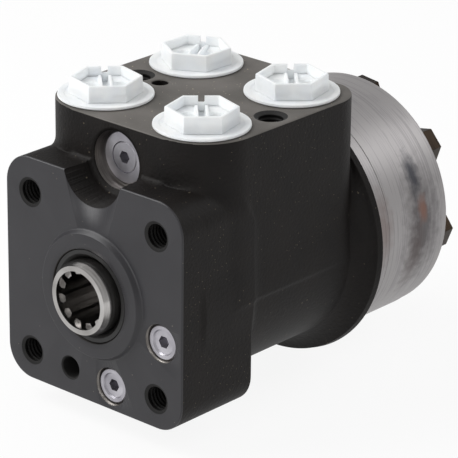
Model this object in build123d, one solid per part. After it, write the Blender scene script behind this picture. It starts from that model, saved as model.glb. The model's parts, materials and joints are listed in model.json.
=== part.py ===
"""Orbital steering unit: rotary valve in a cast housing, gerotor gear set behind it.

Frame: the shaft axis is Y. The mounting flange's face is y = 0, the spool's socket
points to -Y, the gear set lies at the +Y end, and the ports open upwards to +Z.
All lengths are in millimetres.
"""
import os
from math import atan, cos, degrees, pi, radians, sin, sqrt

from build123d import *

# Mounting flange
flange_width = 81.5
flange_drop = 40.0           # from the shaft axis down to the flange's lower edge
flange_rise = 41.7           # from the shaft axis up to the flange's upper edge
flange_depth = 35.0
flange_corner = 11.0
ear_radius = 20.0            # the upper rear edge rolls off towards the sides
flange_bolt_spacing = 58.34
flange_thread_radius = 4.25  # M10 tapping size
flange_thread_depth = 18.0
thread_mouth_width = 1.1     # the flat countersink round a tapped hole
thread_mouth_depth = 0.48
overrun = 1.0                # how far a cutting shape runs past the face it starts from
join_overlap = 0.1
collar_base_radius = 23.0
collar_top_radius = 22.0
collar_height = 2.0
locating_hole_radius = 3.7
locating_hole_depth = 10.0
locating_hole_x = -10.8
locating_hole_z = -30.1

# Cast body and port block
body_radius = 40.5
body_front = 12.0
housing_length = 94.7
port_face_height = 58.0
block_front_corner = 20.0
block_rear_corner = 14.0
block_edge = 0.5
block_rear_gap = 1.0         # from the port block's rear face to the housing's rear face
rim_radius = 48.2
rim_width = 2.3
rim_cove = 6.4
rim_taper = 0.5
cove_radius = 10.9           # the two tapers of the flare follow an arc of this radius

# Ports, for G 1/2 fittings
port_spread = 44.08          # left to right, centre to centre
port_front = 29.6
port_rear = 75.0
port_thread_radius = 9.32
port_thread_depth = 16.0
port_chamber_radius = 7.0
port_chamber_depth = 5.0
passage_radius = 3.0
passage_offset = 3.4         # from a port's centre to its groove, along the shaft
passage_bottom = 9.6         # above the shaft axis, where the passage breaks into its groove
top_thread_depth = 16.0
top_mouth_width = 1.5
top_thread_y = 52.3
top_thread_left = -28.3
top_thread_right = 32.4
gauge_hole_radius = 2.9
gauge_hole_depth = 8.0
gauge_hole_x = -17.8
gauge_hole_y = 51.9
gauge_mouth_width = 0.4

# Bore, valve sleeve and spool
bore_radius = 19.0
sleeve_clearance = 0.04
sleeve_wall = 4.93
spool_clearance = 0.05
groove_width = 4.0
groove_depth = 2.5
nose_reach = 7.0             # the spool's front end stands out of the flange face
nose_radius = 13.2
nose_tip_radius = 12.1
nose_cone = 3.0
socket_radius = 10.15
socket_recess = 2.5
socket_depth = 24.0
input_spline_root = 10.3
input_spline_minor = 8.65
spline_teeth = 12
spool_bore_radius = 11.0
spool_land = 0.8             # depth of the milled oil grooves
valve_turn = 8.0             # degrees from neutral to full opening, either way
socket_chamfer = 0.5
spline_flare = 0.25
spool_groove_width = 2.6
spool_groove_length = 28.0
spool_ring_width = 4.0
spool_end_gap = 0.5
spool_shoulder_gap = 0.3
oil_hole_radius = 1.6
oil_hole_spread = 8.0
metering_hole_radius = 1.3
metering_hole_inset = 5.5    # from the sleeve's rear end
sleeve_rear_gap = 3.2

# Front seals and thrust bearing
dust_seal_radius = 16.3
dust_seal_depth = 4.4
neck_length = 1.6
shaft_seal_radius = 17.5
shaft_seal_length = 3.6
gland_length = 4.0
seal_fit = 0.06
seal_gap = 0.05
seal_side_gap = 0.1
neck_gap = 0.4
wiper_recess = 0.4
wiper_lip_length = 2.2
wiper_lip_width = 0.9
wiper_lip_top = 0.6
wiper_groove = 1.6
wiper_heel = 1.0
race_outer_gap = 0.3
race_inner_gap = 0.3
cage_outer_gap = 0.6
cage_inner_gap = 0.5
cage_thickness = 1.2
needle_length = 3.6
pocket_length = 4.0
pocket_gap = 0.3
race_thickness = 2.0
needle_radius = 1.0
needle_count = 12
bearing_gap = 0.04

# Centring springs
spring_width = 8.0
spring_leaf = 0.5
spring_slot = 3.4
spring_slot_start = 5.0      # from the sleeve's front end
spring_ring_wall = 1.4
spring_reach = 17.1
spring_side_gap = 0.2
leaf_gap = 0.02
leaf_stack_gap = 0.06
leaf_bow_gap = 0.04
ring_outer_gap = 0.06
ring_inner_gap = 0.04
ring_seat_gap = 0.1
ring_overlap_front = 0.6
ring_overlap_rear = 0.8
spring_land = 2.5            # between the spring slot and the spool's bore

# Cross pin and cardan shaft
pin_radius = 4.0
pin_y = 72.0
pin_fit = 0.03
pin_slot_gap = 0.25
pin_end_gap = 0.25
pin_chamfer = 0.5
fork_radius = 10.0
fork_overhang = 8.0
fork_gap = 0.2
fork_chamfer = 1.5
fork_taper = 4.0
fork_floor_gap = 1.2
cardan_radius = 6.5
cardan_tail_gap = 7.0        # from the cardan's rear end to the end cover
cardan_head_length = 9.0
cardan_root_relief = 0.9
cardan_tip_relief = 0.6
cardan_crown = 0.8

# Gear set
stack_radius = 44.0
cover_radius = 43.7
plate_thickness = 8.9
ring_width = 27.1
cover_thickness = 5.7
lobe_circle = 33.5           # centres of the ring's seven teeth
lobe_radius = 8.5
lobe_count = 7
eccentricity = 3.8
gear_clearance = 0.08
arcs_per_lobe = 10           # the rotor's curved outline is laid out in short arcs
rotor_side_gap = 0.04
rotor_spline_root = 11.0
rotor_spline_minor = 9.2
spline_flank_gap = 0.45
plate_bore_radius = 12.5
channel_radius = 2.2
channel_circle = 25.4
channel_length = 7.0         # from the sleeve's rear end forward
channel_groove_width = 3.0
channel_break = 0.6
plate_hole_shift = 1.5
spacer_thickness = 5.6
spacer_gap = 0.1
spacer_side_gap = 0.3
cover_chamfer = 0.6

# Cover screws, M8 with 13 mm heads
screw_circle = 34.5
screw_radius = 4.0
screw_core_radius = 3.4
screw_hole_radius = 4.4
screw_grip = 18.0            # thread engaged in the housing
screw_head_width = 13.0
screw_head_height = 6.8
washer_radius = 6.75
washer_thickness = 1.2
screw_head_chamfer = 0.9
screw_head_inset = 0.3
screw_shank_gap = 0.2
screw_hole_runout = 3.0
thread_gap = 0.05
locating_screw_pin = 1.6
locating_pin_length = 2.5

# Square-section seals of the gear set
ring_seal_radius = 40.7
ring_seal_width = 1.9
ring_seal_depth = 1.5
ring_seal_gap = 0.05

# Relief valve, above the flange
relief_height = 45.0
relief_scallop_front = 13.4
relief_scallop_rear = 12.2
relief_mouth_radius = 10.3
relief_plug_front = 15.6
relief_plug_radius = 9.4
relief_plug_length = 14.0
relief_screw_radius = 5.5
relief_screw_length = 10.0
relief_bore_radius = 5.0
relief_spring_length = 20.0
relief_poppet_length = 8.0
relief_seat_length = 6.0
relief_drain_radius = 2.5
relief_drain_length = 6.0
relief_mouth_step = 0.5
relief_coil_inset = 1.5
relief_coils = 6
relief_seat_bore = 1.8
plug_chamfer = 0.6
plug_lip = 0.2
poppet_fit = 0.06
poppet_neck = 3.5            # from the poppet's guide to its tip
poppet_shoulder = 2.5
poppet_land = 1.5
adjuster_chamfer = 0.4
valve_lift = 2.0
key_size = 4.0
key_depth = 4.5

# Shock valves behind the two small plugs in the flange
shock_circle = 32.3
shock_angles = (-15.0, -75.0)
shock_mouth_radius = 6.8
shock_plug_radius = 6.1
shock_recess = 1.0
shock_plug_length = 10.0
shock_bore_radius = 4.2
shock_spring_length = 12.0
shock_ball_radius = 3.0
shock_seat_length = 5.0
shock_mouth_step = 0.4
shock_end_gap = 0.5
shock_outlet_radius = 1.6
shock_outlet_length = 4.0
shock_dish_depth = 0.6
shock_dish_floor = 4.2
shock_dish_rim = 4.6
shock_plug_chamfer = 0.3
shock_coil_inset = 1.3
shock_coils = 4

# Suction valves, let in from the housing's rear face, and the check valve in one port
suction_circle = 33.0
suction_bore_radius = 3.2
suction_ball_radius = 2.8
suction_pin_radius = 3.15
suction_pin_length = 8.6
suction_pin_bore = 2.0
suction_pin_sink = 0.05
suction_outlet_radius = 1.6
suction_outlet_length = 6.0
suction_end_gap = 0.1
ball_gap = 0.05
check_bore_radius = 4.6
check_bore_depth = 10.0
check_ball_radius = 4.0
check_bush_bore = 3.0
check_bush_chamfer = 1.0

# Port caps, moulded plastic, 22 mm across flats
cap_flange_radius = 16.54
cap_flange_thickness = 1.2
cap_seat_gap = 0.1
cap_head_width = 22.0
cap_head_height = 5.6
cap_wall = 1.3
cap_web = 1.2
cap_web_drop = 0.4           # the webs stay a little below the hexagon's rim
cap_slot = 2.2
cap_slot_depth = 2.3
cap_shank_length = 8.0
cap_shank_wall = 1.5
cap_thread_gap = 0.1
cap_flange_chamfer = 0.3
cap_turns = {"front_left": 46.7, "front_right": 43.7, "rear_left": 28.7, "rear_right": 43.7}

# Coil springs
coil_wire_radius = 0.7
coil_wire_sides = 6

# Places along the shaft that follow from the sizes above
gland_front = dust_seal_depth - collar_height + neck_length
bearing_front = gland_front + gland_length
bearing_length = 2 * race_thickness + 2 * needle_radius + 3 * bearing_gap
sleeve_front = bearing_front + bearing_length + bearing_gap
sleeve_rear = housing_length - sleeve_rear_gap
sleeve_radius = bore_radius - sleeve_clearance
sleeve_bore = sleeve_radius - sleeve_wall
spool_radius = sleeve_bore - spool_clearance
spool_front = sleeve_front + spool_shoulder_gap
spool_rear = sleeve_rear - spool_end_gap
socket_end = socket_depth - nose_reach
spring_front = sleeve_front + spring_slot_start
spring_slot_width = spring_width + 2 * spring_side_gap
spring_slot_rear = spring_front + spring_slot_width
spool_bore_front = spring_slot_rear + spring_land
plate_front = housing_length
ring_front = plate_front + plate_thickness
cover_front = ring_front + ring_width
cover_rear = cover_front + cover_thickness
rotor_middle = ring_front + ring_width / 2
cardan_rear = cover_front - cardan_tail_gap
cardan_head_middle = cardan_rear - cardan_head_length / 2
cardan_tilt = degrees(atan(eccentricity / (cardan_head_middle - pin_y)))
passage_floor = port_face_height - port_thread_depth - port_chamber_depth
port_centres = {
    "front_left": (-port_spread / 2, port_front),
    "front_right": (port_spread / 2, port_front),
    "rear_left": (-port_spread / 2, port_rear),
    "rear_right": (port_spread / 2, port_rear),
}
screw_angles = [90 + k * 360 / lobe_count for k in range(lobe_count)]
chamber_angles = [a + 180 / lobe_count for a in screw_angles]
suction_angles = (chamber_angles[4], chamber_angles[1])
shock_places = [(shock_circle * cos(radians(a)), shock_circle * sin(radians(a))) for a in shock_angles]
suction_places = [(suction_circle * cos(radians(a)), suction_circle * sin(radians(a)))
                  for a in suction_angles]


def bar(outline, start, end):
    """A flat outline, seen from the front, carried along the shaft from start to end."""
    return extrude(Plane.XZ.offset(-start) * outline, amount=start - end)


def rod(radius, start, end, x=0.0, z=0.0):
    """A round bar parallel to the shaft."""
    return bar(Pos(x, z) * Circle(radius), start, end)


def tube(outer, inner, start, end, x=0.0, z=0.0):
    """A round tube parallel to the shaft."""
    return bar(Pos(x, z) * (Circle(outer) - Circle(inner)), start, end)


def post(radius, low, high, x, y):
    """A round bar that stands upright."""
    return Pos(x, y, low) * extrude(Circle(radius), amount=high - low)


def turned(points, x=0.0, z=0.0):
    """A profile of (radius, y) points turned about an axis parallel to the shaft."""
    profile = make_face(Polyline(*points, close=True))
    return Pos(x, 0, z) * revolve(profile, Axis.Y)


def turned_upright(points, x, y):
    """A profile of (radius, z) points turned about an upright axis."""
    profile = Plane.XZ * make_face(Polyline(*points, close=True))
    return Pos(x, y, 0) * revolve(profile, Axis.Z)


def around(angles, radius, make):
    """Copies of one shape at the given angles on a circle about the shaft."""
    return [make(radius * cos(radians(a)), radius * sin(radians(a))) for a in angles]


def tapped(radius, depth, x, z):
    """A tapped hole into the flange face, with its chamfered mouth and flat bottom."""
    mouth = radius + thread_mouth_width
    return turned([
        (0, -overrun), (mouth, -overrun), (mouth, 0), (radius, thread_mouth_depth),
        (radius, depth), (0, depth)], x, z)


def tapped_down(radius, depth, mouth_width, x, y):
    """A tapped hole down into the port face."""
    top = port_face_height
    mouth = radius + mouth_width
    return turned_upright([
        (0, top + overrun), (mouth, top + overrun), (mouth, top),
        (radius, top - thread_mouth_depth),
        (radius, top - depth), (0, top - depth)], x, y)


def spline_outline(root, tip, width, flare):
    """Straight-sided spline: a round core with even teeth, wider at the root by flare."""
    tooth = make_face(Polyline(
        (root - overrun, -width / 2 - flare), (tip, -width / 2 + flare),
        (tip, width / 2 - flare), (root - overrun, width / 2 + flare), close=True))
    teeth = PolarLocations(0, spline_teeth) * tooth
    return Circle(root) + teeth


def spline_space(minor, root):
    """Width of a spline's tooth space where it is half filled."""
    return pi * (minor + root) / 2 / spline_teeth


def coil_spring(radius, start, end, turns, x, z):
    """A coil spring parallel to the shaft, with a flat-sided wire to keep it light."""
    height = end - start - 2 * coil_wire_radius
    path = Helix(height / turns, height, radius)
    coil = sweep((path ^ 0) * RegularPolygon(coil_wire_radius, coil_wire_sides), path)
    return Pos(x, start + coil_wire_radius, z) * Rot(-90, 0, 0) * coil


def flange_block():
    """The square flange, whose upper rear edge rolls off behind the bolt ears."""
    height = flange_rise + flange_drop
    front = Pos(0, (flange_rise - flange_drop) / 2) * RectangleRounded(
        flange_width, height, flange_corner)
    block = bar(front, 0, flange_depth)
    roll_start = flange_depth - ear_radius
    side = make_face(
        Polyline((roll_start, flange_rise), (0, flange_rise), (0, -flange_drop),
                 (flange_depth, -flange_drop), (flange_depth, flange_rise - ear_radius))
        + RadiusArc((flange_depth, flange_rise - ear_radius),
                    (roll_start, flange_rise), -ear_radius))
    side_solid = extrude(Plane.YZ * side, amount=flange_width, both=True)
    return block & side_solid


def port_block():
    """The upright block under the port face, with well rounded corners."""
    length = housing_length - block_rear_gap - body_front
    plan = Pos(0, body_front + length / 2) * Rectangle(2 * body_radius, length)
    corners = plan.vertices().sort_by(Axis.Y)
    plan = fillet(corners[:2], block_front_corner)
    plan = fillet(plan.vertices().sort_by(Axis.Y)[-2:], block_rear_corner)
    block = extrude(plan, amount=port_face_height)
    return chamfer(block.faces().sort_by(Axis.Z)[-1].edges(), block_edge)


def barrel():
    """The round lower body, flaring in two tapers into the rim that carries the gear set."""
    flare_end = housing_length - rim_width
    flare_start = flare_end - rim_cove
    rise = rim_radius - rim_taper - body_radius
    chord = sqrt(rise ** 2 + rim_cove ** 2)
    sag = (cove_radius - sqrt(cove_radius ** 2 - (chord / 2) ** 2)) / chord
    knee = (body_radius + rise / 2 - sag * rim_cove, flare_start + rim_cove / 2 + sag * rise)
    return turned([
        (0, body_front), (body_radius, body_front), (body_radius, flare_start), knee,
        (rim_radius - rim_taper, flare_end), (rim_radius, housing_length), (0, housing_length)])


def collar():
    """The low raised ring that the dust seal sits in."""
    return turned([(0, overrun), (collar_base_radius, overrun), (collar_base_radius, 0),
                   (collar_top_radius, -collar_height), (0, -collar_height)])


def shaft_cuts():
    """Seal seats, bearing seat, bore and the annular oil grooves in it."""
    neck_radius = nose_radius + neck_gap
    cuts = [turned([
        (0, -collar_height - overrun), (dust_seal_radius, -collar_height - overrun),
        (dust_seal_radius, dust_seal_depth - collar_height),
        (neck_radius, dust_seal_depth - collar_height), (neck_radius, gland_front),
        (shaft_seal_radius, gland_front), (shaft_seal_radius, bearing_front),
        (bore_radius, bearing_front), (bore_radius, housing_length + overrun),
        (0, housing_length + overrun)])]
    for centre in groove_places():
        cuts.append(tube(bore_radius + groove_depth, bore_radius - overrun,
                         centre - groove_width / 2, centre + groove_width / 2))
    return cuts


def groove_places():
    """One groove under each port, and one that feeds the middle of the sleeve."""
    return [port_front - passage_offset, port_front + passage_offset,
            (port_front + port_rear) / 2,
            port_rear - passage_offset, port_rear + passage_offset]


def port_cuts():
    """Each port's thread, its chamber and the passage drilled down to its groove."""
    cuts = []
    for name, (x, y) in port_centres.items():
        cuts.append(tapped_down(port_thread_radius, port_thread_depth, top_mouth_width, x, y))
        chamber_top = port_face_height - port_thread_depth
        cuts.append(post(port_chamber_radius, passage_floor, chamber_top + overrun, x, y))
        side = -passage_offset if "left" in name else passage_offset
        cuts.append(post(passage_radius, passage_bottom, passage_floor + overrun, x, y + side))
    x, y = port_centres["front_left"]
    bore_floor = passage_floor - check_bore_depth
    cuts.append(post(check_bore_radius, bore_floor, passage_floor + overrun, x, y))
    return cuts


def relief_places():
    """Where each piece of the relief valve ends, from the front to the rear."""
    screw_end = relief_plug_front + relief_screw_length
    spring_end = screw_end + relief_spring_length
    poppet_end = spring_end + relief_poppet_length
    return screw_end, spring_end, poppet_end, poppet_end + relief_seat_length


def relief_cuts():
    """The cast scallop over the flange, and the relief valve's stepped bore behind it."""
    plug_end = relief_plug_front + relief_plug_length
    seat_end = relief_places()[3]
    scallop = turned([
        (0, -overrun), (relief_scallop_front, -overrun), (relief_scallop_front, 0),
        (relief_scallop_rear, body_front), (0, body_front)], 0, relief_height)
    mouth_end = relief_plug_front + relief_mouth_step
    thread_radius = relief_plug_radius + thread_gap
    drain_end = seat_end + relief_drain_length
    bore = turned([
        (0, body_front - overrun), (relief_mouth_radius, body_front - overrun),
        (relief_mouth_radius, mouth_end), (thread_radius, mouth_end),
        (thread_radius, plug_end + overrun), (relief_bore_radius, plug_end + overrun),
        (relief_bore_radius, seat_end), (relief_drain_radius, seat_end),
        (relief_drain_radius, drain_end), (0, drain_end)], 0, relief_height)
    drain = post(relief_drain_radius, bore_radius, relief_height, 0, (seat_end + drain_end) / 2)
    return [scallop, bore, drain]


def shock_places_along():
    """Where each piece of a shock valve ends, from the front to the rear."""
    plug_end = shock_recess + shock_plug_length
    spring_end = plug_end + shock_spring_length
    ball_end = spring_end + 2 * shock_ball_radius
    return plug_end, spring_end, ball_end, ball_end + shock_seat_length


def shock_cuts():
    """The two stepped bores behind the small plugs in the flange face."""
    plug_end, _, _, seat_end = shock_places_along()
    mouth_end = shock_recess + shock_mouth_step
    thread_radius = shock_plug_radius + thread_gap
    thread_end = plug_end + shock_end_gap
    outlet_end = seat_end + shock_outlet_length
    profile = [
        (0, -overrun), (shock_mouth_radius, -overrun), (shock_mouth_radius, mouth_end),
        (thread_radius, mouth_end), (thread_radius, thread_end), (shock_bore_radius, thread_end),
        (shock_bore_radius, seat_end), (shock_outlet_radius, seat_end),
        (shock_outlet_radius, outlet_end), (0, outlet_end)]
    return [turned(profile, x, z) for x, z in shock_places]


def suction_bottom():
    """Depth of the suction valves' bores."""
    travel = suction_ball_radius * 2 + valve_lift
    return housing_length - suction_pin_length - travel - suction_end_gap


def rear_cuts():
    """Screw threads, oil channels, suction bores and the seal groove in the rear face."""
    past = housing_length + overrun
    hole_front = housing_length - screw_grip - screw_hole_runout
    channel_front = sleeve_rear - channel_length
    bottom = suction_bottom()
    cuts = []
    cuts += around(screw_angles, screw_circle, lambda x, z: rod(
        screw_core_radius, hole_front, past, x, z))
    cuts += around(chamber_angles, channel_circle, lambda x, z: rod(
        channel_radius, channel_front, past, x, z))
    cuts.append(tube(channel_circle - channel_radius + channel_break, bore_radius - overrun,
                     channel_front, channel_front + channel_groove_width))
    for x, z in suction_places:
        cuts.append(rod(suction_bore_radius, bottom, past, x, z))
        cuts.append(rod(suction_outlet_radius, bottom - suction_outlet_length,
                        bottom + overrun, x, z))
    cuts.append(tube(ring_seal_radius + ring_seal_width / 2, ring_seal_radius - ring_seal_width / 2,
                     housing_length - ring_seal_depth, past))
    return cuts


def make_housing():
    """The casting with all of its machined holes."""
    body = flange_block() + port_block() + barrel() + collar()
    half = flange_bolt_spacing / 2
    cuts = shaft_cuts() + port_cuts() + relief_cuts() + shock_cuts() + rear_cuts()
    for x in (-half, half):
        for z in (-half, half):
            cuts.append(tapped(flange_thread_radius, flange_thread_depth, x, z))
    cuts.append(tapped(locating_hole_radius, locating_hole_depth, locating_hole_x, locating_hole_z))
    for x in (top_thread_left, top_thread_right):
        cuts.append(tapped_down(flange_thread_radius, top_thread_depth, top_mouth_width, x, top_thread_y))
    cuts.append(tapped_down(gauge_hole_radius, gauge_hole_depth, gauge_mouth_width,
                            gauge_hole_x, gauge_hole_y))
    return body - cuts


def make_dust_seal():
    """The wiper ring in the collar, with its lip on the spool's nose."""
    low = -collar_height + wiper_recess
    high = dust_seal_depth - collar_height
    inner = nose_radius + seal_fit
    outer = dust_seal_radius - seal_gap
    return turned([
        (inner, high - wiper_lip_length), (inner + wiper_lip_width, low + wiper_lip_top),
        (inner + wiper_groove, low), (outer, low), (outer, high), (inner + wiper_heel, high)])


def make_shaft_seal():
    """The pressure seal in its gland ahead of the bearing."""
    start = gland_front + seal_side_gap
    return tube(shaft_seal_radius - seal_gap, nose_radius + seal_fit,
                start, start + shaft_seal_length)


def bearing_race(start):
    """One flat race of the thrust bearing."""
    return tube(bore_radius - race_outer_gap, nose_radius + race_inner_gap,
                start, start + race_thickness)


def needle_plane():
    """Middle of the needles, along the shaft."""
    return bearing_front + race_thickness + bearing_gap + needle_radius


def make_bearing_cage():
    """The flat cage, with one radial pocket for each needle."""
    front = needle_plane() - cage_thickness / 2
    rear = needle_plane() + cage_thickness / 2
    cage = tube(bore_radius - cage_outer_gap, nose_radius + cage_inner_gap, front, rear)
    pocket = Pos((bore_radius + nose_radius) / 2, 0) * Rectangle(
        pocket_length, 2 * needle_radius + pocket_gap)
    pockets = Sketch() + PolarLocations(0, needle_count) * pocket
    return cage - bar(pockets, front - overrun, rear + overrun)


def make_bearing_needles():
    """The needles, lying radially in the cage's pockets."""
    middle = (bore_radius + nose_radius) / 2
    needle = Rot(0, 90, 0) * Cylinder(needle_radius, needle_length)
    needle = Pos(middle, needle_plane(), 0) * needle
    return [Rot(0, k * 360 / needle_count, 0) * needle for k in range(needle_count)]


def make_sleeve():
    """The outer valve tube, slotted in front for the springs and drilled for oil."""
    ring_seat = sleeve_radius - spring_ring_wall - ring_seat_gap
    seat_end = spring_slot_rear + overrun
    sleeve = turned([
        (sleeve_bore, sleeve_front), (ring_seat, sleeve_front), (ring_seat, seat_end),
        (sleeve_radius, seat_end), (sleeve_radius, sleeve_rear), (sleeve_bore, sleeve_rear)])
    slot = bar(Rectangle(spring_slot, 3 * sleeve_radius), sleeve_front - overrun, spring_slot_rear)
    pin_hole = Pos(0, pin_y, 0) * Rot(0, 90, 0) * Cylinder(pin_radius + pin_fit, 3 * sleeve_radius)
    cuts = [slot, pin_hole]
    middle = (port_front + port_rear) / 2
    for row, count, radius, turn in (
            (middle, 6, oil_hole_radius, 0), (middle + oil_hole_spread, 6, oil_hole_radius, 30),
            (sleeve_rear - metering_hole_inset, 12, metering_hole_radius, 15)):
        drill = Pos(0, row, 0) * Cylinder(radius, 3 * sleeve_radius)
        for k in range(count // 2):
            cuts.append(Rot(0, turn + k * 360 / count, 0) * drill)
    return sleeve - cuts


def make_spool():
    """The splined inner valve, milled outside and bored for the cardan shaft."""
    socket_front = -nose_reach
    cone_end = socket_front + nose_cone
    blank = turned([
        (0, socket_front), (nose_tip_radius, socket_front), (nose_radius, cone_end),
        (nose_radius, spool_front), (spool_radius, spool_front), (spool_radius, spool_rear),
        (0, spool_rear)])
    recess_end = socket_front + socket_recess
    mouth = turned([
        (0, socket_front - overrun), (socket_radius + socket_chamfer, socket_front - overrun),
        (socket_radius, socket_front + socket_chamfer), (socket_radius, recess_end),
        (0, recess_end)])
    space = spline_space(input_spline_minor, input_spline_root)
    socket = bar(spline_outline(input_spline_minor, input_spline_root, space, spline_flare),
                 recess_end - join_overlap, socket_end)
    bore = rod(spool_bore_radius, spool_bore_front, spool_rear + overrun)
    spring_hole = bar(Rectangle(spring_slot, 3 * spool_radius), spring_front, spring_slot_rear)
    swing = spool_radius * sin(radians(valve_turn)) + pin_slot_gap
    pin_slot = SlotOverall(2 * (pin_radius + swing), 2 * (pin_radius + pin_slot_gap))
    pin_hole = extrude(Plane.YZ * Pos(pin_y, 0) * Rot(0, 0, 90) * pin_slot,
                       amount=2 * spool_radius, both=True)
    return blank - [mouth, socket, bore, spring_hole, pin_hole] - oil_grooves()


def oil_grooves():
    """One groove round the spool, and six milled along it."""
    middle = (port_front + port_rear) / 2
    ring = tube(spool_radius + overrun, spool_radius - spool_land,
                middle - spool_ring_width / 2, middle + spool_ring_width / 2)
    groove = Pos(spool_radius, 0) * Rectangle(2 * spool_land, spool_groove_width)
    grooves = bar(Sketch() + PolarLocations(0, 6, start_angle=30) * groove,
                  middle - spool_groove_length / 2, middle + spool_groove_length / 2)
    return [ring, grooves]


def make_flat_springs():
    """Two flat leaves against the slot's walls."""
    offset = (spring_slot - spring_leaf) / 2 - leaf_gap
    leaf = Rectangle(spring_leaf, 2 * spring_reach)
    start = spring_front + spring_side_gap
    return [bar(Pos(x, 0) * leaf, start, start + spring_width) for x in (-offset, offset)]


def make_arched_springs():
    """Two arched leaves, back to back between the flat ones."""
    outer = spring_slot / 2 - spring_leaf - leaf_stack_gap
    bow = leaf_bow_gap
    leaves = []
    start = spring_front + spring_side_gap
    for side in (-1, 1):
        face = make_face(
            ThreePointArc((side * outer, -spring_reach), (side * (bow + spring_leaf), 0),
                          (side * outer, spring_reach))
            + Line((side * outer, spring_reach), (side * (outer - spring_leaf), spring_reach))
            + ThreePointArc((side * (outer - spring_leaf), spring_reach), (side * bow, 0),
                            (side * (outer - spring_leaf), -spring_reach))
            + Line((side * (outer - spring_leaf), -spring_reach), (side * outer, -spring_reach)))
        leaves.append(bar(face, start, start + spring_width))
    return leaves


def make_spring_ring():
    """The loose ring that keeps the springs in the sleeve's slots."""
    return tube(sleeve_radius - ring_outer_gap, sleeve_radius - spring_ring_wall - ring_inner_gap,
                spring_front - ring_overlap_front, spring_slot_rear + ring_overlap_rear)


def make_cross_pin():
    """The pin through sleeve, spool and cardan fork."""
    pin = Rot(0, 90, 0) * Cylinder(pin_radius, 2 * (bore_radius - pin_end_gap))
    pin = chamfer(pin.edges().filter_by(GeomType.CIRCLE), pin_chamfer)
    return Pos(0, pin_y, 0) * pin


def make_cardan_shaft():
    """The shaft that carries the rotor's turn to the cross pin: fork, shank, crowned head."""
    fork_rear = pin_y + fork_overhang
    fork_front = pin_y - fork_overhang
    body = turned([
        (0, fork_front), (fork_radius - fork_chamfer, fork_front),
        (fork_radius, fork_front + fork_chamfer), (fork_radius, fork_rear),
        (cardan_radius, fork_rear + fork_taper), (cardan_radius, cardan_rear - overrun),
        (0, cardan_rear)])
    slot_start = fork_front - overrun
    slot_end = pin_y + pin_radius + fork_floor_gap
    slot = Pos(0, (slot_start + slot_end) / 2, 0) * Box(
        3 * fork_radius, slot_end - slot_start, 2 * (pin_radius + fork_gap))
    space = spline_space(rotor_spline_minor, rotor_spline_root)
    head = bar(spline_outline(
        rotor_spline_minor - cardan_root_relief, rotor_spline_root - cardan_tip_relief,
        space - 2 * spline_flank_gap, spline_flare), cardan_rear - cardan_head_length, cardan_rear)
    crown = Pos(0, cardan_head_middle, 0) * Sphere(
        sqrt(rotor_spline_root ** 2 + (cardan_head_length / 2) ** 2) - cardan_crown)
    whole = (body - slot) + (head & crown)
    return Pos(0, pin_y, 0) * Rot(cardan_tilt, 0, 0) * Pos(0, -pin_y, 0) * whole


def ring_cavity():
    """The seven-toothed opening of the outer gear."""
    cavity = Circle(lobe_circle - lobe_radius + 2 * eccentricity + gear_clearance)
    teeth = [Pos(lobe_circle * cos(radians(a)), lobe_circle * sin(radians(a))) * Circle(lobe_radius)
             for a in screw_angles]
    return cavity - teeth


def rotor_point(turn):
    """A point of the rotor's outline: the curve that the ring's round teeth envelop.

    The tooth's centre runs on a curve of six waves, and the outline keeps a tooth radius
    inside that curve.
    """
    lobes = lobe_count - 1
    lean = atan(sin(-lobes * turn) / (lobe_circle / (eccentricity * lobe_count) - cos(-lobes * turn)))
    radius = lobe_radius + gear_clearance
    x = lobe_circle * cos(turn) - radius * cos(turn + lean) - eccentricity * cos(lobe_count * turn)
    z = -lobe_circle * sin(turn) + radius * sin(turn + lean) + eccentricity * sin(lobe_count * turn)
    return x, z


def make_rotor():
    """The six-lobed inner gear, sitting towards the top tooth of the ring."""
    steps = 2 * arcs_per_lobe * (lobe_count - 1)
    points = [rotor_point(2 * pi * k / steps) for k in range(steps)]
    points.append(points[0])
    arcs = [ThreePointArc(*points[k:k + 3]) for k in range(0, steps, 2)]
    outline = make_face(Curve() + arcs)
    space = spline_space(rotor_spline_minor, rotor_spline_root)
    outline = Rot(0, 0, 90) * outline
    outline -= spline_outline(rotor_spline_minor, rotor_spline_root, space, spline_flare)
    return bar(Pos(0, eccentricity) * outline, ring_front + rotor_side_gap, cover_front - rotor_side_gap)


def screw_holes(start, end, radius=screw_hole_radius):
    """One hole for each cover screw."""
    return around(screw_angles, screw_circle, lambda x, z: rod(
        radius, start - overrun, end + overrun, x, z))


def make_distributor_plate():
    """The plate between valve and gears, with one oil hole for each gear chamber."""
    plate = tube(stack_radius, plate_bore_radius, plate_front, ring_front)
    oil = around(chamber_angles, channel_circle + plate_hole_shift, lambda x, z: rod(
        channel_radius, plate_front - overrun, ring_front + overrun, x, z))
    return plate - screw_holes(plate_front, ring_front) - oil


def seal_groove(face, inward):
    """A square seal groove sunk into a face of the gear ring."""
    return tube(ring_seal_radius + ring_seal_width / 2, ring_seal_radius - ring_seal_width / 2,
                min(face, face + inward), max(face, face + inward))


def make_gear_ring():
    """The outer gear, fixed between plate and cover, with a seal groove in each face."""
    ring = bar(Circle(stack_radius) - ring_cavity(), ring_front, cover_front)
    grooves = [seal_groove(ring_front, ring_seal_depth), seal_groove(cover_front, -ring_seal_depth)]
    return ring - screw_holes(ring_front, cover_front) - grooves


def make_end_cover():
    """The flat rear cover."""
    cover = bar(Circle(cover_radius), cover_front, cover_rear)
    cover = chamfer(cover.edges().sort_by(Axis.Y)[-1], cover_chamfer)
    return cover - screw_holes(cover_front, cover_rear)


def make_end_spacer():
    """The loose disc that keeps the cardan shaft off the end cover."""
    end = cover_front - spacer_gap
    return rod(rotor_spline_minor - spacer_side_gap, end - spacer_thickness, end, 0, eccentricity)


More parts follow.
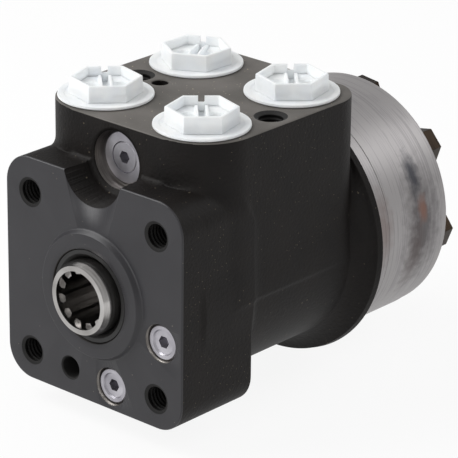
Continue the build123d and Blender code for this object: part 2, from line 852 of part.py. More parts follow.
def square_seal(face, depth):
    """A square-section seal pressed into its groove."""
    half = ring_seal_width / 2 - ring_seal_gap
    return tube(ring_seal_radius + half, ring_seal_radius - half,
                min(face, face + depth), max(face, face + depth))


def hex_screw(x, z, tip):
    """A cover screw: hexagon head with a chamfered top, shank, and thread in the housing."""
    seat = cover_rear + washer_thickness
    head = bar(Pos(x, z) * RegularPolygon(screw_head_width / 2, 6, major_radius=False),
               seat, seat + screw_head_height)
    top = seat + screw_head_height
    corner = screw_head_width / sqrt(3) + join_overlap
    cone = turned([
        (0, seat - overrun), (corner, seat - overrun), (corner, top - screw_head_chamfer),
        (screw_head_width / 2 - screw_head_inset, top), (0, top)], x, z)
    shank = rod(screw_radius, plate_front + screw_shank_gap, seat + overrun, x, z)
    thread = rod(screw_core_radius - thread_gap, tip, plate_front + overrun, x, z)
    return (head & cone) + shank + thread


def make_cover_screws():
    """Six of the seven screws that clamp the gear set."""
    tip = plate_front - screw_grip
    return around(screw_angles[1:], screw_circle, lambda x, z: hex_screw(x, z, tip))


def make_locating_screw():
    """The seventh screw, whose thin end pin holds down a valve part."""
    x = screw_circle * cos(radians(screw_angles[0]))
    z = screw_circle * sin(radians(screw_angles[0]))
    tip = plate_front - screw_grip
    pin = rod(locating_screw_pin, tip - locating_pin_length, tip + overrun, x, z)
    return hex_screw(x, z, tip) + pin


def make_cover_washers():
    """A flat washer under each screw head."""
    return around(screw_angles, screw_circle, lambda x, z: tube(
        washer_radius, screw_hole_radius, cover_rear, cover_rear + washer_thickness, x, z))


def key_socket(start, x, z):
    """A hexagon socket let into a plug's front."""
    return bar(Pos(x, z) * RegularPolygon(key_size / 2, 6, major_radius=False),
               start - overrun, start + key_depth)


def make_relief_plug():
    """The threaded plug that carries the adjusting screw."""
    end = relief_plug_front + relief_plug_length
    thread_radius = relief_screw_radius + thread_gap
    thread_end = relief_places()[0] + relief_mouth_step
    bore = relief_bore_radius - plug_lip
    return turned([
        (thread_radius, relief_plug_front), (relief_plug_radius - plug_chamfer, relief_plug_front),
        (relief_plug_radius, relief_plug_front + plug_chamfer), (relief_plug_radius, end),
        (bore, end), (bore, thread_end), (thread_radius, thread_end)], 0, relief_height)


def make_relief_screw():
    """The adjusting screw, with its key socket."""
    end = relief_places()[0]
    screw = turned([
        (0, relief_plug_front), (relief_screw_radius - adjuster_chamfer, relief_plug_front),
        (relief_screw_radius, relief_plug_front + adjuster_chamfer),
        (relief_screw_radius, end), (0, end)], 0, relief_height)
    return screw - key_socket(relief_plug_front, 0, relief_height)


def make_relief_spring():
    """The spring between screw and poppet."""
    start, end = relief_places()[:2]
    radius = relief_bore_radius - relief_coil_inset
    return coil_spring(radius, start, end, relief_coils, 0, relief_height)


def make_relief_poppet():
    """The guided poppet, whose cone closes the seat."""
    start, end = relief_places()[1:3]
    guide = relief_bore_radius - poppet_fit
    return turned([
        (0, start), (guide, start), (guide, end - poppet_neck),
        (relief_drain_radius, end - poppet_shoulder), (relief_drain_radius, end - poppet_land),
        (0, end)], 0, relief_height)


def make_relief_seat():
    """The pressed-in seat."""
    start, end = relief_places()[2:]
    return tube(relief_bore_radius, relief_seat_bore, start, end, 0, relief_height)


def make_shock_plugs():
    """The two plugs in the flange face, each with a rim, a dished centre and a key socket."""
    end = shock_places_along()[0]
    dish = shock_recess + shock_dish_depth
    plugs = []
    for x, z in shock_places:
        plug = turned([
            (0, dish), (shock_dish_floor, dish), (shock_dish_rim, shock_recess),
            (shock_plug_radius - shock_plug_chamfer, shock_recess),
            (shock_plug_radius, shock_recess + shock_plug_chamfer),
            (shock_plug_radius, end), (0, end)], x, z)
        plugs.append(plug - key_socket(dish, x, z))
    return plugs


def make_shock_springs():
    """One spring behind each shock plug."""
    start, end = shock_places_along()[:2]
    radius = shock_bore_radius - shock_coil_inset
    return [coil_spring(radius, start, end, shock_coils, x, z) for x, z in shock_places]


def ball(radius, x, y, z):
    """A steel ball."""
    return Pos(x, y, z) * Sphere(radius)


def shock_ball(place):
    """The ball that closes a shock valve's seat."""
    x, z = place
    return ball(shock_ball_radius, x, shock_places_along()[1] + shock_ball_radius, z)


def make_shock_seats():
    """One pressed-in seat behind each shock ball."""
    start, end = shock_places_along()[2:]
    return [tube(shock_bore_radius, shock_outlet_radius, start, end, x, z)
            for x, z in shock_places]


def suction_ball(place):
    """A loose ball that opens when the wheel is turned without pump flow."""
    x, z = place
    return ball(suction_ball_radius, x, suction_bottom() + suction_ball_radius + ball_gap, z)


def make_suction_pins():
    """The rolled pins that keep the suction balls in their bores."""
    return [tube(suction_pin_radius, suction_pin_bore, housing_length - suction_pin_length,
                 housing_length - suction_pin_sink, x, z) for x, z in suction_places]


def make_check_bush():
    """The bush screwed into one port's chamber, above the check ball."""
    x, y = port_centres["front_left"]
    low = passage_floor
    high = port_face_height - port_thread_depth
    outer = port_chamber_radius - thread_gap
    return turned_upright([
        (check_bush_bore, low), (outer, low), (outer, high),
        (check_bush_bore + check_bush_chamfer, high),
        (check_bush_bore, high - check_bush_chamfer)], x, y)


def make_check_ball():
    """The ball under the bush, resting on the floor of its bore."""
    x, y = port_centres["front_left"]
    floor = passage_floor - check_bore_depth
    return ball(check_ball_radius, x, y, floor + check_ball_radius + ball_gap)


def make_cap(name):
    """A plastic port cap: sealing flange, hollow hexagon head with two webs, short shank."""
    x, y = port_centres[name]
    seat = port_face_height + cap_seat_gap
    flange_top = seat + cap_flange_thickness
    top = flange_top + cap_head_height
    flange = Pos(0, 0, seat) * extrude(Circle(cap_flange_radius), amount=cap_flange_thickness)
    flange = chamfer(flange.edges().filter_by(GeomType.CIRCLE), cap_flange_chamfer)
    head = Pos(0, 0, flange_top) * extrude(
        RegularPolygon(cap_head_width / 2, 6, major_radius=False), amount=cap_head_height)
    shank_radius = port_thread_radius - cap_thread_gap
    shank = Pos(0, 0, seat - cap_shank_length) * extrude(Circle(shank_radius), amount=cap_shank_length)
    hollow = Pos(0, 0, flange_top) * extrude(
        RegularPolygon(cap_head_width / 2 - cap_wall, 6, major_radius=False),
        amount=cap_head_height + overrun)
    well = Pos(0, 0, seat - cap_shank_length - overrun) * extrude(
        Circle(shank_radius - cap_shank_wall), amount=cap_shank_length + overrun)
    web_place = (cap_slot + cap_web) / 2
    webs = [Pos(0, side * web_place, flange_top) * Box(
        cap_head_width - cap_wall, cap_web, cap_head_height - cap_web_drop,
        align=(Align.CENTER, Align.CENTER, Align.MIN)) for side in (-1, 1)]
    slot = Pos(0, 0, top - cap_slot_depth) * Box(
        2 * cap_head_width, cap_slot, 2 * cap_slot_depth,
        align=(Align.CENTER, Align.CENTER, Align.MIN))
    cap = flange + head + shank - hollow - well
    cap = cap + [web & head for web in webs] - slot
    return Pos(x, y, 0) * Rot(0, 0, 90 + cap_turns[name]) * cap


def write(name, shape):
    """Save one node; a list of shapes becomes a group of separate solids."""
    if isinstance(shape, list):
        shape = Compound(children=shape)
    export_step(shape, f"parts/{name}.step")


def main():
    os.makedirs("parts", exist_ok=True)
    rear_race = needle_plane() + needle_radius + bearing_gap
    nodes = {
        "housing": make_housing(),
        "dust_seal": make_dust_seal(),
        "shaft_seal": make_shaft_seal(),
        "bearing_front_race": bearing_race(bearing_front),
        "bearing_cage": make_bearing_cage(),
        "bearing_needles": make_bearing_needles(),
        "bearing_rear_race": bearing_race(rear_race),
        "sleeve": make_sleeve(),
        "spool": make_spool(),
        "flat_springs": make_flat_springs(),
        "arched_springs": make_arched_springs(),
        "spring_ring": make_spring_ring(),
        "cross_pin": make_cross_pin(),
        "cardan_shaft": make_cardan_shaft(),
        "distributor_plate": make_distributor_plate(),
        "gear_ring": make_gear_ring(),
        "gear_rotor": make_rotor(),
        "end_spacer": make_end_spacer(),
        "end_cover": make_end_cover(),
        "plate_seal": square_seal(plate_front, -ring_seal_depth),
        "ring_seal": square_seal(ring_front, ring_seal_depth),
        "cover_seal": square_seal(cover_front, -ring_seal_depth),
        "cover_screws": make_cover_screws(),
        "locating_screw": make_locating_screw(),
        "cover_washers": make_cover_washers(),
        "relief_plug": make_relief_plug(),
        "relief_screw": make_relief_screw(),
        "relief_spring": make_relief_spring(),
        "relief_poppet": make_relief_poppet(),
        "relief_seat": make_relief_seat(),
        "shock_plugs": make_shock_plugs(),
        "shock_springs": make_shock_springs(),
        "shock_ball_right": shock_ball(shock_places[0]),
        "shock_ball_low": shock_ball(shock_places[1]),
        "shock_seats": make_shock_seats(),
        "suction_ball_right": suction_ball(suction_places[0]),
        "suction_ball_left": suction_ball(suction_places[1]),
        "suction_pins": make_suction_pins(),
        "check_bush": make_check_bush(),
        "check_ball": make_check_ball(),
    }
    for name in port_centres:
        nodes[f"cap_{name}"] = make_cap(name)
    for name, shape in nodes.items():
        write(name, shape)


main()
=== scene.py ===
import json

import bmesh
import bpy
import numpy as np
from mathutils import Matrix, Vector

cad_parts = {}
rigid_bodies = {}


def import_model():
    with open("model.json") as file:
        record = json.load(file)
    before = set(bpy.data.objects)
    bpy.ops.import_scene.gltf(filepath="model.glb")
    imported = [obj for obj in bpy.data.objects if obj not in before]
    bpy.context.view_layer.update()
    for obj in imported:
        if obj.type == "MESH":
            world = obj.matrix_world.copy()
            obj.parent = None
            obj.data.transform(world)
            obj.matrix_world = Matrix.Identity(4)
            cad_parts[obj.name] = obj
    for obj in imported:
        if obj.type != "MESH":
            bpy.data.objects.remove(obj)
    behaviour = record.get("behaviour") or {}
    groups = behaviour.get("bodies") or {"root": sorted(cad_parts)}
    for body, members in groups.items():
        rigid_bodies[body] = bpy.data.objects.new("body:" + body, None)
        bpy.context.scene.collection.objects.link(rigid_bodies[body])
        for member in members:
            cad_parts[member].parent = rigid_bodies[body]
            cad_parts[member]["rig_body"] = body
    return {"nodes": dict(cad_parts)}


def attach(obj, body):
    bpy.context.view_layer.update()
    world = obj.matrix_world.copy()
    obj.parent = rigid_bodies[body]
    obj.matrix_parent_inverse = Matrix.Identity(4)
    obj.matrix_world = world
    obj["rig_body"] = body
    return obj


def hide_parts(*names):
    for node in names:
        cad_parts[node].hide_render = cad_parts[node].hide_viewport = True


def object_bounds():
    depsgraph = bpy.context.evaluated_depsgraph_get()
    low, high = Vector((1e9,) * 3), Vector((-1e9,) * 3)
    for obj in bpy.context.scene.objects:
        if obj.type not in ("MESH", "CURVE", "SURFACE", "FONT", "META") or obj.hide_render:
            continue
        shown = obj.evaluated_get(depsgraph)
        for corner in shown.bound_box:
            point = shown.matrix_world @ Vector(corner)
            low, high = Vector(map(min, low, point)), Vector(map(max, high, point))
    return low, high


# Looks of an orbital steering unit. Sizes below are millimetres in the frame of the
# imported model: the shaft runs along y, the flange face is y = 0, the ports open upwards.
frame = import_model()
nodes = frame["nodes"]
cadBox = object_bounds()
mm = 0.001
fullTurn = 2 * np.pi
print("frame loaded with", len(nodes), "nodes")


# sRGB hex to linear light: above 0.04 a channel c becomes ((c + 0.055) / 1.055) ** 2.4
def linear(hexColour):
    c = np.array([int(hexColour[i:i + 2], 16) for i in (1, 3, 5)]) / 255
    c = np.where(c > 0.04045, ((c + 0.055) / 1.055) ** 2.4, c / 12.92)
    return (*[float(v) for v in c], 1.0)


# adds one node, with its settings by socket or property name and its links by socket
def addNode(tree, kind, settings=None, links=None):
    node = tree.nodes.new(kind)
    for key, value in (settings or {}).items():
        if isinstance(key, int) or key in node.inputs:
            node.inputs[key].default_value = value
        else:
            setattr(node, key, value)
    for key, socket in (links or {}).items():
        tree.links.new(socket, node.inputs[key])
    return node


# the result of a maths node: each value is a number or another node's socket
def mathNode(tree, operation, *values):
    numbers = {n: v for n, v in enumerate(values) if isinstance(v, (int, float))}
    sockets = {n: v for n, v in enumerate(values) if n not in numbers}
    return addNode(tree, "ShaderNodeMath", {"operation": operation, **numbers}, sockets).outputs[0]


# a new material with an empty tree
def newFinish(name):
    finish = bpy.data.materials.new(name)
    finish.use_nodes = True
    tree = finish.node_tree
    tree.nodes.clear()
    return finish, tree


# a colour ramp from (position, hex) stops
def ramp(tree, stops, source):
    node = addNode(tree, "ShaderNodeValToRGB", {}, {"Fac": source})
    marks = node.color_ramp.elements
    while len(marks) < len(stops):
        marks.new(0.5)
    for mark, (position, colour) in zip(marks, stops):
        mark.position = position
        mark.color = linear(colour)
    return node.outputs["Color"]


# corners of a closed profile replaced by arcs: a quadratic curve from one tangent point to
# the other, over no more than the longest share of either side
def eased(corners, radius, steps):
    longest, leastTangent = 0.45, 1e-3
    p = np.asarray(corners, float)
    out = []
    for i, b in enumerate(p):
        u, v = p[i - 1] - b, p[(i + 1) % len(p)] - b
        lu, lv = np.hypot(*u), np.hypot(*v)
        u, v = u / lu, v / lv
        half = 0.5 * np.arccos(np.clip(u @ v, -1, 1))
        cut = min(radius / max(np.tan(half), leastTangent), longest * lu, longest * lv)
        t = np.linspace(0, 1, steps)[:, None]
        out.append((1 - t) ** 2 * (b + u * cut) + 2 * t * (1 - t) * b + t ** 2 * (b + v * cut))
    return np.concatenate(out)


# points round a circle, by what it bounds
roundPoints = {"bore": 160, "cap": 144, "port": 96, "hole": 64, "inner": 48, "narrow": 32, "channel": 24}


# a circle as an outline: no points of its own, only directions
def circleOutline(kind):
    a = np.linspace(0, fullTurn, roundPoints[kind], endpoint=False)
    d = np.stack([np.cos(a), np.sin(a)], -1)
    return np.zeros_like(d), d


# a regular polygon with round corners: each corner is an arc about a point one corner
# radius inside, so the outline is those points and the directions round them
def polygonOutline(sides, acrossFlats, corner, turn=0.0):
    steps, fill = 6, 6   # points round each corner and along each flat
    far = (acrossFlats / 2 - corner) / np.cos(np.pi / sides)
    mid = turn + (np.arange(sides) + 0.5) * fullTurn / sides
    sweep = np.linspace(-np.pi / sides, np.pi / sides, steps)
    a = (mid[:, None] + sweep).ravel()
    hub = np.repeat(np.stack([np.cos(mid), np.sin(mid)], -1) * far, steps, 0)
    d = np.stack([np.cos(a), np.sin(a)], -1)
    points, t = np.concatenate([hub, d], 1), np.linspace(0, 1, fill, endpoint=False)[:, None]
    rows = np.concatenate([p + t * (q - p) if n % steps == steps - 1 else p[None]
                           for n, (p, q) in enumerate(zip(points, np.roll(points, -1, 0)))])
    return rows[:, :2], rows[:, 2:]


# quads between rows and columns of points; wrapRows joins the last row to the first
def gridFaces(rows, columns, wrapRows):
    i = np.arange(rows if wrapRows else rows - 1)[:, None]
    j = np.arange(columns)[None, :]
    a, b = i * columns, ((i + 1) % rows) * columns
    k = (j + 1) % columns
    return np.stack([a + j, a + k, b + k, b + j], -1).reshape(-1, 4)


# an outline carried along a profile of (offset, along): each point is the outline's own
# point plus offset times its direction; axis "y" lies along the shaft, "z" stands up
def carried(outline, profile, centre=(0, 0), axis="y", closed=True):
    hub, direction = outline
    offset, along = np.asarray(profile, float).T
    u = centre[0] + hub[None, :, 0] + offset[:, None] * direction[None, :, 0]
    v = centre[1] + hub[None, :, 1] + offset[:, None] * direction[None, :, 1]
    w = np.broadcast_to(along[:, None], u.shape)
    points = np.stack([u, w, v] if axis == "y" else [u, v, w], -1)
    return closedGrid(points, closed)


# a grid of points (rows, columns, 3) as a closed shape; without closed rows its first and
# last rows are closed with fans about their middles
def closedGrid(points, wrapRows):
    rows, columns = points.shape[:2]
    flat = points.reshape(-1, 3)
    quads = gridFaces(rows, columns, wrapRows)
    tris = np.zeros((0, 3), int)
    if not wrapRows:
        j = np.arange(columns)
        k = (j + 1) % columns
        end = (rows - 1) * columns
        first = np.stack([k, j, np.full(columns, len(flat))], -1)
        last = np.stack([end + j, end + k, np.full(columns, len(flat) + 1)], -1)
        tris = np.concatenate([first, last])
        flat = np.concatenate([flat, points[0].mean(0)[None], points[-1].mean(0)[None]])
    corners = np.concatenate([quads[:, :3], quads[:, [0, 2, 3]], tris])
    a, b, c = (flat[corners[:, n]] for n in (0, 1, 2))
    if np.einsum("ij,ij->", a, np.cross(b, c)) < 0:   # six times the volume inside
        quads, tris = quads[:, ::-1], tris[:, ::-1]
    return flat, quads, tris


# a new object in the scene
def sceneObject(name, data):
    made = bpy.data.objects.new(name, data)
    bpy.context.scene.collection.objects.link(made)
    return made


# degrees between two faces from which the edge that they share is kept sharp
sharpFrom = {"built": 32, "casting": 34, "turned": 30, "spool": 24}


# a mesh object from closed shapes, in metres, flat faces kept flat and curves smooth
def meshObject(name, shapes):
    points, faces, start = [], [], 0
    for flat, quads, tris in shapes:
        points.append(flat)
        faces += (quads + start).tolist() + (tris + start).tolist()
        start += len(flat)
    mesh = bpy.data.meshes.new(name)
    mesh.from_pydata((np.concatenate(points) * mm).tolist(), [], faces)
    mesh.update()
    made = sceneObject(name, mesh)
    smooth(made, sharpFrom["built"])
    return made


# smooth shading with sharp edges kept, large faces weighted over small ones
def smooth(made, sharp):
    made.data.shade_smooth()
    made.data.set_sharp_from_angle(angle=np.radians(sharp))
    weighted = made.modifiers.new("weighted", "WEIGHTED_NORMAL")
    weighted.keep_sharp = True
    applyModifiers(made)


# makes an object's modifiers part of its mesh
def applyModifiers(made):
    bpy.context.view_layer.update()
    solved = made.evaluated_get(bpy.context.evaluated_depsgraph_get())
    mesh = bpy.data.meshes.new_from_object(solved)
    made.modifiers.clear()
    made.data = mesh


# opens a mesh for one change and writes it back
def edit(mesh, change):
    work = bmesh.new()
    work.from_mesh(mesh)
    change(work)
    work.to_mesh(mesh)
    work.free()


# adds one object's mesh to another's
def joinInto(made, other):
    edit(made.data, lambda work: work.from_mesh(other.data))
    bpy.data.objects.remove(other)


# gives a piece its finish and its body, and hides the nodes that it stands for
def dress(made, finishes, body, stands=()):
    made.data.materials.clear()
    for finish in finishes:
        made.data.materials.append(finish)
    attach(made, body)
    if stands:
        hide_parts(*stands)
    return made


mergeWithin = 2e-6   # metres between points that are one point


# a merged copy of a node, so that its curved faces shade smoothly
def mergedCopy(node, name, sharp):
    mesh = nodes[node].data.copy()
    edit(mesh, lambda work: bmesh.ops.remove_doubles(work, verts=work.verts, dist=mergeWithin))
    made = sceneObject(name, mesh)
    for attribute in [a for a in mesh.attributes if a.name == "custom_normal"]:
        mesh.attributes.remove(attribute)
    smooth(made, sharp)
    return made


# a noise value in object space; size is the grain in millimetres
def grain(tree, size, detail=3.0, stretch=(1, 1, 1)):
    place = addNode(tree, "ShaderNodeTexCoord").outputs["Object"]
    scaled = addNode(tree, "ShaderNodeVectorMath", {"operation": "MULTIPLY", 1: stretch}, {0: place})
    noise = addNode(tree, "ShaderNodeTexNoise", {"Scale": 1 / (size * mm), "Detail": detail},
                    {"Vector": scaled.outputs[0]})
    return noise.outputs["Fac"]


# scattered flecks: 1 inside a small ball about some of the cells' points, else 0
def flecks(tree, spacing, share, size):
    place = addNode(tree, "ShaderNodeTexCoord").outputs["Object"]
    cell = addNode(tree, "ShaderNodeTexVoronoi", {"Scale": 1 / (spacing * mm)}, {"Vector": place})
    near = mathNode(tree, "LESS_THAN", cell.outputs["Distance"], size / spacing)
    pick = addNode(tree, "ShaderNodeSeparateColor", {}, {"Color": cell.outputs["Color"]})
    return mathNode(tree, "MULTIPLY", near, mathNode(tree, "LESS_THAN", pick.outputs["Red"], share))


# one colour laid over another; a colour mix has its colours at inputs 6 and 7, output 2
def blendColours(tree, factor, first, second):
    mix = addNode(tree, "ShaderNodeMix", {"data_type": "RGBA"}, {0: factor})
    for at, value in ((6, first), (7, second)):
        if isinstance(value, str):
            mix.inputs[at].default_value = linear(value)
        else:
            tree.links.new(value, mix.inputs[at])
    return mix.outputs[2]


# a principled shader with a base colour, and a height as a bump depth millimetres high
def closeFinish(tree, base, settings, height, depth):
    bump = addNode(tree, "ShaderNodeBump", {"Strength": 1.0, "Distance": depth * mm}, {"Height": height})
    shader = addNode(tree, "ShaderNodeBsdfPrincipled", settings,
                     {"Base Color": base, "Normal": bump.outputs["Normal"]})
    addNode(tree, "ShaderNodeOutputMaterial", {}, {"Surface": shader.outputs["BSDF"]})


# grey cast iron, sand cast and spray painted black: a fine orange-peel of sand grain,
# uneven gloss, and pale dust caught in the pits
def paintedCasting(name, dark, light, dust, rough, specular, dustShare, grit, depth):
    finish, tree = newFinish(name)
    sand = grain(tree, size=grit, detail=4)
    base = ramp(tree, [(0.3, dark), (0.7, light)], grain(tree, size=14))
    base = blendColours(tree, flecks(tree, spacing=2.6, share=dustShare, size=0.28), base, dust)
    base = blendColours(tree, flecks(tree, spacing=1.5, share=dustShare * 1.6, size=0.16), base, dust)
    closeFinish(tree, base, {"Roughness": rough, "Specular IOR Level": specular}, sand, depth)
    return finish


# turned or ground metal: fine lathe lines, which run round the shaft, and a satin reflection
def cutSteel(name, dark, light, rough, lines, metal=1.0):
    finish, tree = newFinish(name)
    turned = grain(tree, size=lines, detail=2, stretch=(0.03, 1, 0.03))
    broad = grain(tree, size=9, detail=2)
    half = mathNode(tree, "MULTIPLY", mathNode(tree, "ADD", turned, broad), 0.5)
    base = ramp(tree, [(0.35, dark), (0.65, light)], half)
    closeFinish(tree, base, {"Metallic": metal, "Roughness": rough}, turned, depth=0.01)
    return finish


# the casting's finishes, in the order of its material slots
looks = {
    # the black paint as sprayed on the rough casting, on the milled flange face, which stays smooth under
    # it, and thin on the milled port face, where the grey iron shows through; the port face's greys are
    # lighter still with painted light from above
    "side": paintedCasting("casting_paint", "#0d0a09", "#15110f", "#5d5548", rough=0.6, specular=0.2,
                           dustShare=0.14, grit=1.1, depth=0.2),
    "face": paintedCasting("flange_paint", "#212024", "#27262a", "#6d665f", rough=0.42, specular=0.5,
                           dustShare=0.035, grit=0.5, depth=0.02),
    "top": paintedCasting("port_face_paint", "#55524e", "#686460", "#b9ac94", rough=0.6, specular=0.4,
                          dustShare=0.16, grit=0.7, depth=0.04),
    # grey cast iron kept clear of the paint: bored and tapped, both coloured dark as painted shade inside
    # the holes, the tapped holes darker still, or counterbored, bare and pale
    "hole": cutSteel("bored_iron_painted_shade", "#1c1917", "#2b2724", rough=0.5, lines=0.4, metal=0.6),
    "thread": cutSteel("tapped_iron_painted_shade", "#070605", "#0d0b0a", rough=0.7, lines=0.4, metal=0.2),
    "bright": cutSteel("counterbored_iron", "#5c5855", "#8b8783", rough=0.38, lines=0.3),
}
# alloy steel, hardened and ground: bright and smooth
spoolSteel = cutSteel("ground_steel", "#8f8c8a", "#bcbab8", rough=0.2, lines=0.4)
# alloy steel, forged and blacked in oil: brown-black, half matt
screwSteel = cutSteel("screw_steel", "#1d1714", "#3a2f24", rough=0.45, lines=0.4)
# mild steel, turned and zinc plated: bluish white, satin
zincSteel = cutSteel("zinc_steel", "#8e8c93", "#c4c2c8", rough=0.36, lines=0.3, metal=0.9)
# mild steel, stamped, zinc plated and yellow passivated: straw yellow, satin
washerSteel = cutSteel("yellow_zinc_washer", "#6a5a34", "#a08a52", rough=0.3, lines=0.5, metal=0.9)
# alloy steel, turned, and left plain: mid grey
innerSteel = cutSteel("inner_steel", "#77746f", "#99958f", rough=0.34, lines=0.4)
# spring steel, drawn or rolled and tempered: dark grey, smooth
springSteel = cutSteel("spring_steel", "#4a4845", "#6b6864", rough=0.3, lines=0.4)
# brass, drawn and turned: yellow, satin
bearingBrass = cutSteel("bearing_brass", "#a88a4e", "#c7a763", rough=0.32, lines=0.4)
print("steel and paint finishes ready")


housing = {
    "flangeHalf": 40.75, "flangeLow": -40.0, "flangeHigh": 41.7, "flangeDepth": 35.0,
    "flangeCorner": 11.0, "earRadius": 20.0, "edge": 0.7,
    "collarTop": 22.0, "collarBase": 23.0, "collarHeight": 2.0,
    "bodyRadius": 40.5, "bodyFront": 12.0, "blockRear": 93.7, "length": 94.7, "portFace": 58.0,
    "frontCorner": 20.0, "rearCorner": 14.0, "topEdge": 0.6,
    "rim": 48.2, "rimWidth": 2.3, "cove": 6.4, "coveRadius": 10.9, "rimTaper": 0.5,
    "castFillet": 3.0,
}


# two distances joined with a round corner or edge: the length past the shrunken corner less
# the radius
def roundJoin(a, b, edge):
    a, b = a + edge, b + edge
    return np.minimum(np.maximum(a, b), 0) + np.hypot(np.maximum(a, 0), np.maximum(b, 0)) - edge


# the lower of two distances with a fillet where they meet: min(a, b) - h * h / 4 / k
def filletUnion(a, b, k):
    h = np.maximum(k - np.abs(a - b), 0)
    return np.minimum(a, b) - h * h / (4 * k)


# half-width of the port block's plan at y: straight sides, with a round corner at each end
def blockHalfWidth(y):
    h = housing
    front = np.clip(h["bodyFront"] + h["frontCorner"] - y, 0, h["frontCorner"])
    rear = np.clip(y - h["blockRear"] + h["rearCorner"], 0, h["rearCorner"])
    w = h["bodyRadius"] - h["frontCorner"] + np.sqrt(h["frontCorner"] ** 2 - front ** 2)
    return w - h["rearCorner"] + np.sqrt(h["rearCorner"] ** 2 - rear ** 2)


# the barrel's radius at y: straight, then an arc out to the rim, then the rim
def barrelRadius(y):
    h = housing
    rimStart = h["length"] - h["rimWidth"]
    x0, y0, x1, y1 = h["bodyRadius"], rimStart - h["cove"], h["rim"] - h["rimTaper"], rimStart
    midX, midY = (x0 + x1) / 2, (y0 + y1) / 2
    span = np.hypot(x1 - x0, y1 - y0)
    lift = np.sqrt(h["coveRadius"] ** 2 - span ** 2 / 4)
    cx, cy = midX + lift * (y1 - y0) / span, midY - lift * (x1 - x0) / span
    arc = cx - np.sqrt(np.maximum(h["coveRadius"] ** 2 - (y - cy) ** 2, 0))
    edge = h["rim"] - h["rimTaper"] * (h["length"] - y) / h["rimWidth"]
    return np.where(y < y0, x0, np.where(y < rimStart, np.clip(arc, x0, x1), edge))


# distance to the casting: flange, barrel and port block with fillets between
def housingDistance(x, y, z):
    h = housing
    midZ, halfZ = (h["flangeHigh"] + h["flangeLow"]) / 2, (h["flangeHigh"] - h["flangeLow"]) / 2
    outline = roundJoin(np.abs(x) - h["flangeHalf"], np.abs(z - midZ) - halfZ, h["flangeCorner"])
    depth = np.abs(y - h["flangeDepth"] / 2) - h["flangeDepth"] / 2
    flange = roundJoin(outline, depth, h["edge"])
    rollY, rollZ = h["flangeDepth"] - h["earRadius"], h["flangeHigh"] - h["earRadius"]
    roll = np.hypot(y - rollY, z - rollZ) - h["earRadius"]
    flange = np.where((y > rollY) & (z > rollZ), np.maximum(flange, roll), flange)
    barrel = np.maximum(np.hypot(x, z) - barrelRadius(y), h["bodyFront"] - y)
    side = np.abs(x) - blockHalfWidth(np.clip(y, h["bodyFront"], h["blockRear"]))
    ends = np.maximum(h["bodyFront"] - y, y - h["blockRear"])
    plan = roundJoin(side, ends, h["edge"])
    block = np.maximum(roundJoin(plan, z - h["portFace"], h["topEdge"]), -z)
    return filletUnion(filletUnion(flange, barrel, h["castFillet"]), block, h["castFillet"])


# the skin's rows and columns: y offsets (mm) from the feature named, angles and shares as
# (from, to, count), and the collar's corners as (radius, y) offsets
skinGrid = {
    "edgeRows": 6, "faceStart": 1.2, "faceEnd": 1, "faceRows": 8,
    "bodyFront": (-0.5, -0.2, 0.02, 0.1, 0.25, 0.5, 0.8),
    "frontTurn": (0.3, np.pi / 2, 34), "rearTurn": (0.1, 1.52, 30),
    "flangeBack": (-1.5, -0.7, -0.45, -0.2, -0.08, 0.02, 0.5, 1, 2, 3.5),
    "straightStart": 5, "straightRows": 12, "coveRows": 12, "blockRear": (-0.01, 0.03), "lastRow": 0.5,
    "nearCorner": (0, 0.0004, 0.0009, 0.0015, 0.0024, 0.004, 0.007), "sides": (0.012, 0.988, 330),
    "topStart": (0.004, 0.012, 0.025), "top": (0.04, 0.96, 90), "topEnd": (0.975, 0.988, 0.996),
    "search": (18.0, 82.0), "halvings": 34,
    "collarBore": 19.0, "collarCorner": ((-0.4, 0), (-0.15, 0.05), (0, 0.25)),
    "collarFoot": ((-0.2, -0.5), (0, -0.15), (0.4, 0)), "face": (0.15, 0.45, 0.8, 0.97),
}


# where the skin's rows lie along the shaft
def skinRows():
    h, g = housing, skinGrid
    quarter = np.linspace(0, np.pi / 2, g["edgeRows"])
    rimStart, rearStart = h["length"] - h["rimWidth"], h["blockRear"] - h["rearCorner"]
    y = np.concatenate([
        h["edge"] * (1 - np.cos(quarter)),
        np.linspace(g["faceStart"], h["bodyFront"] - g["faceEnd"], g["faceRows"]),
        h["bodyFront"] + np.array(g["bodyFront"]),
        h["bodyFront"] + h["frontCorner"] * (1 - np.cos(np.linspace(*g["frontTurn"]))),
        h["flangeDepth"] + np.array(g["flangeBack"]),
        np.linspace(h["flangeDepth"] + g["straightStart"], rearStart, g["straightRows"]),
        rearStart + h["rearCorner"] * np.sin(np.linspace(*g["rearTurn"])),
        np.linspace(rimStart - h["cove"], rimStart, g["coveRows"]),
        h["blockRear"] + np.array(g["blockRear"]),
        [h["length"] - g["lastRow"], h["length"]]])
    return np.unique(np.round(y, 3))   # to a thousandth of a millimetre


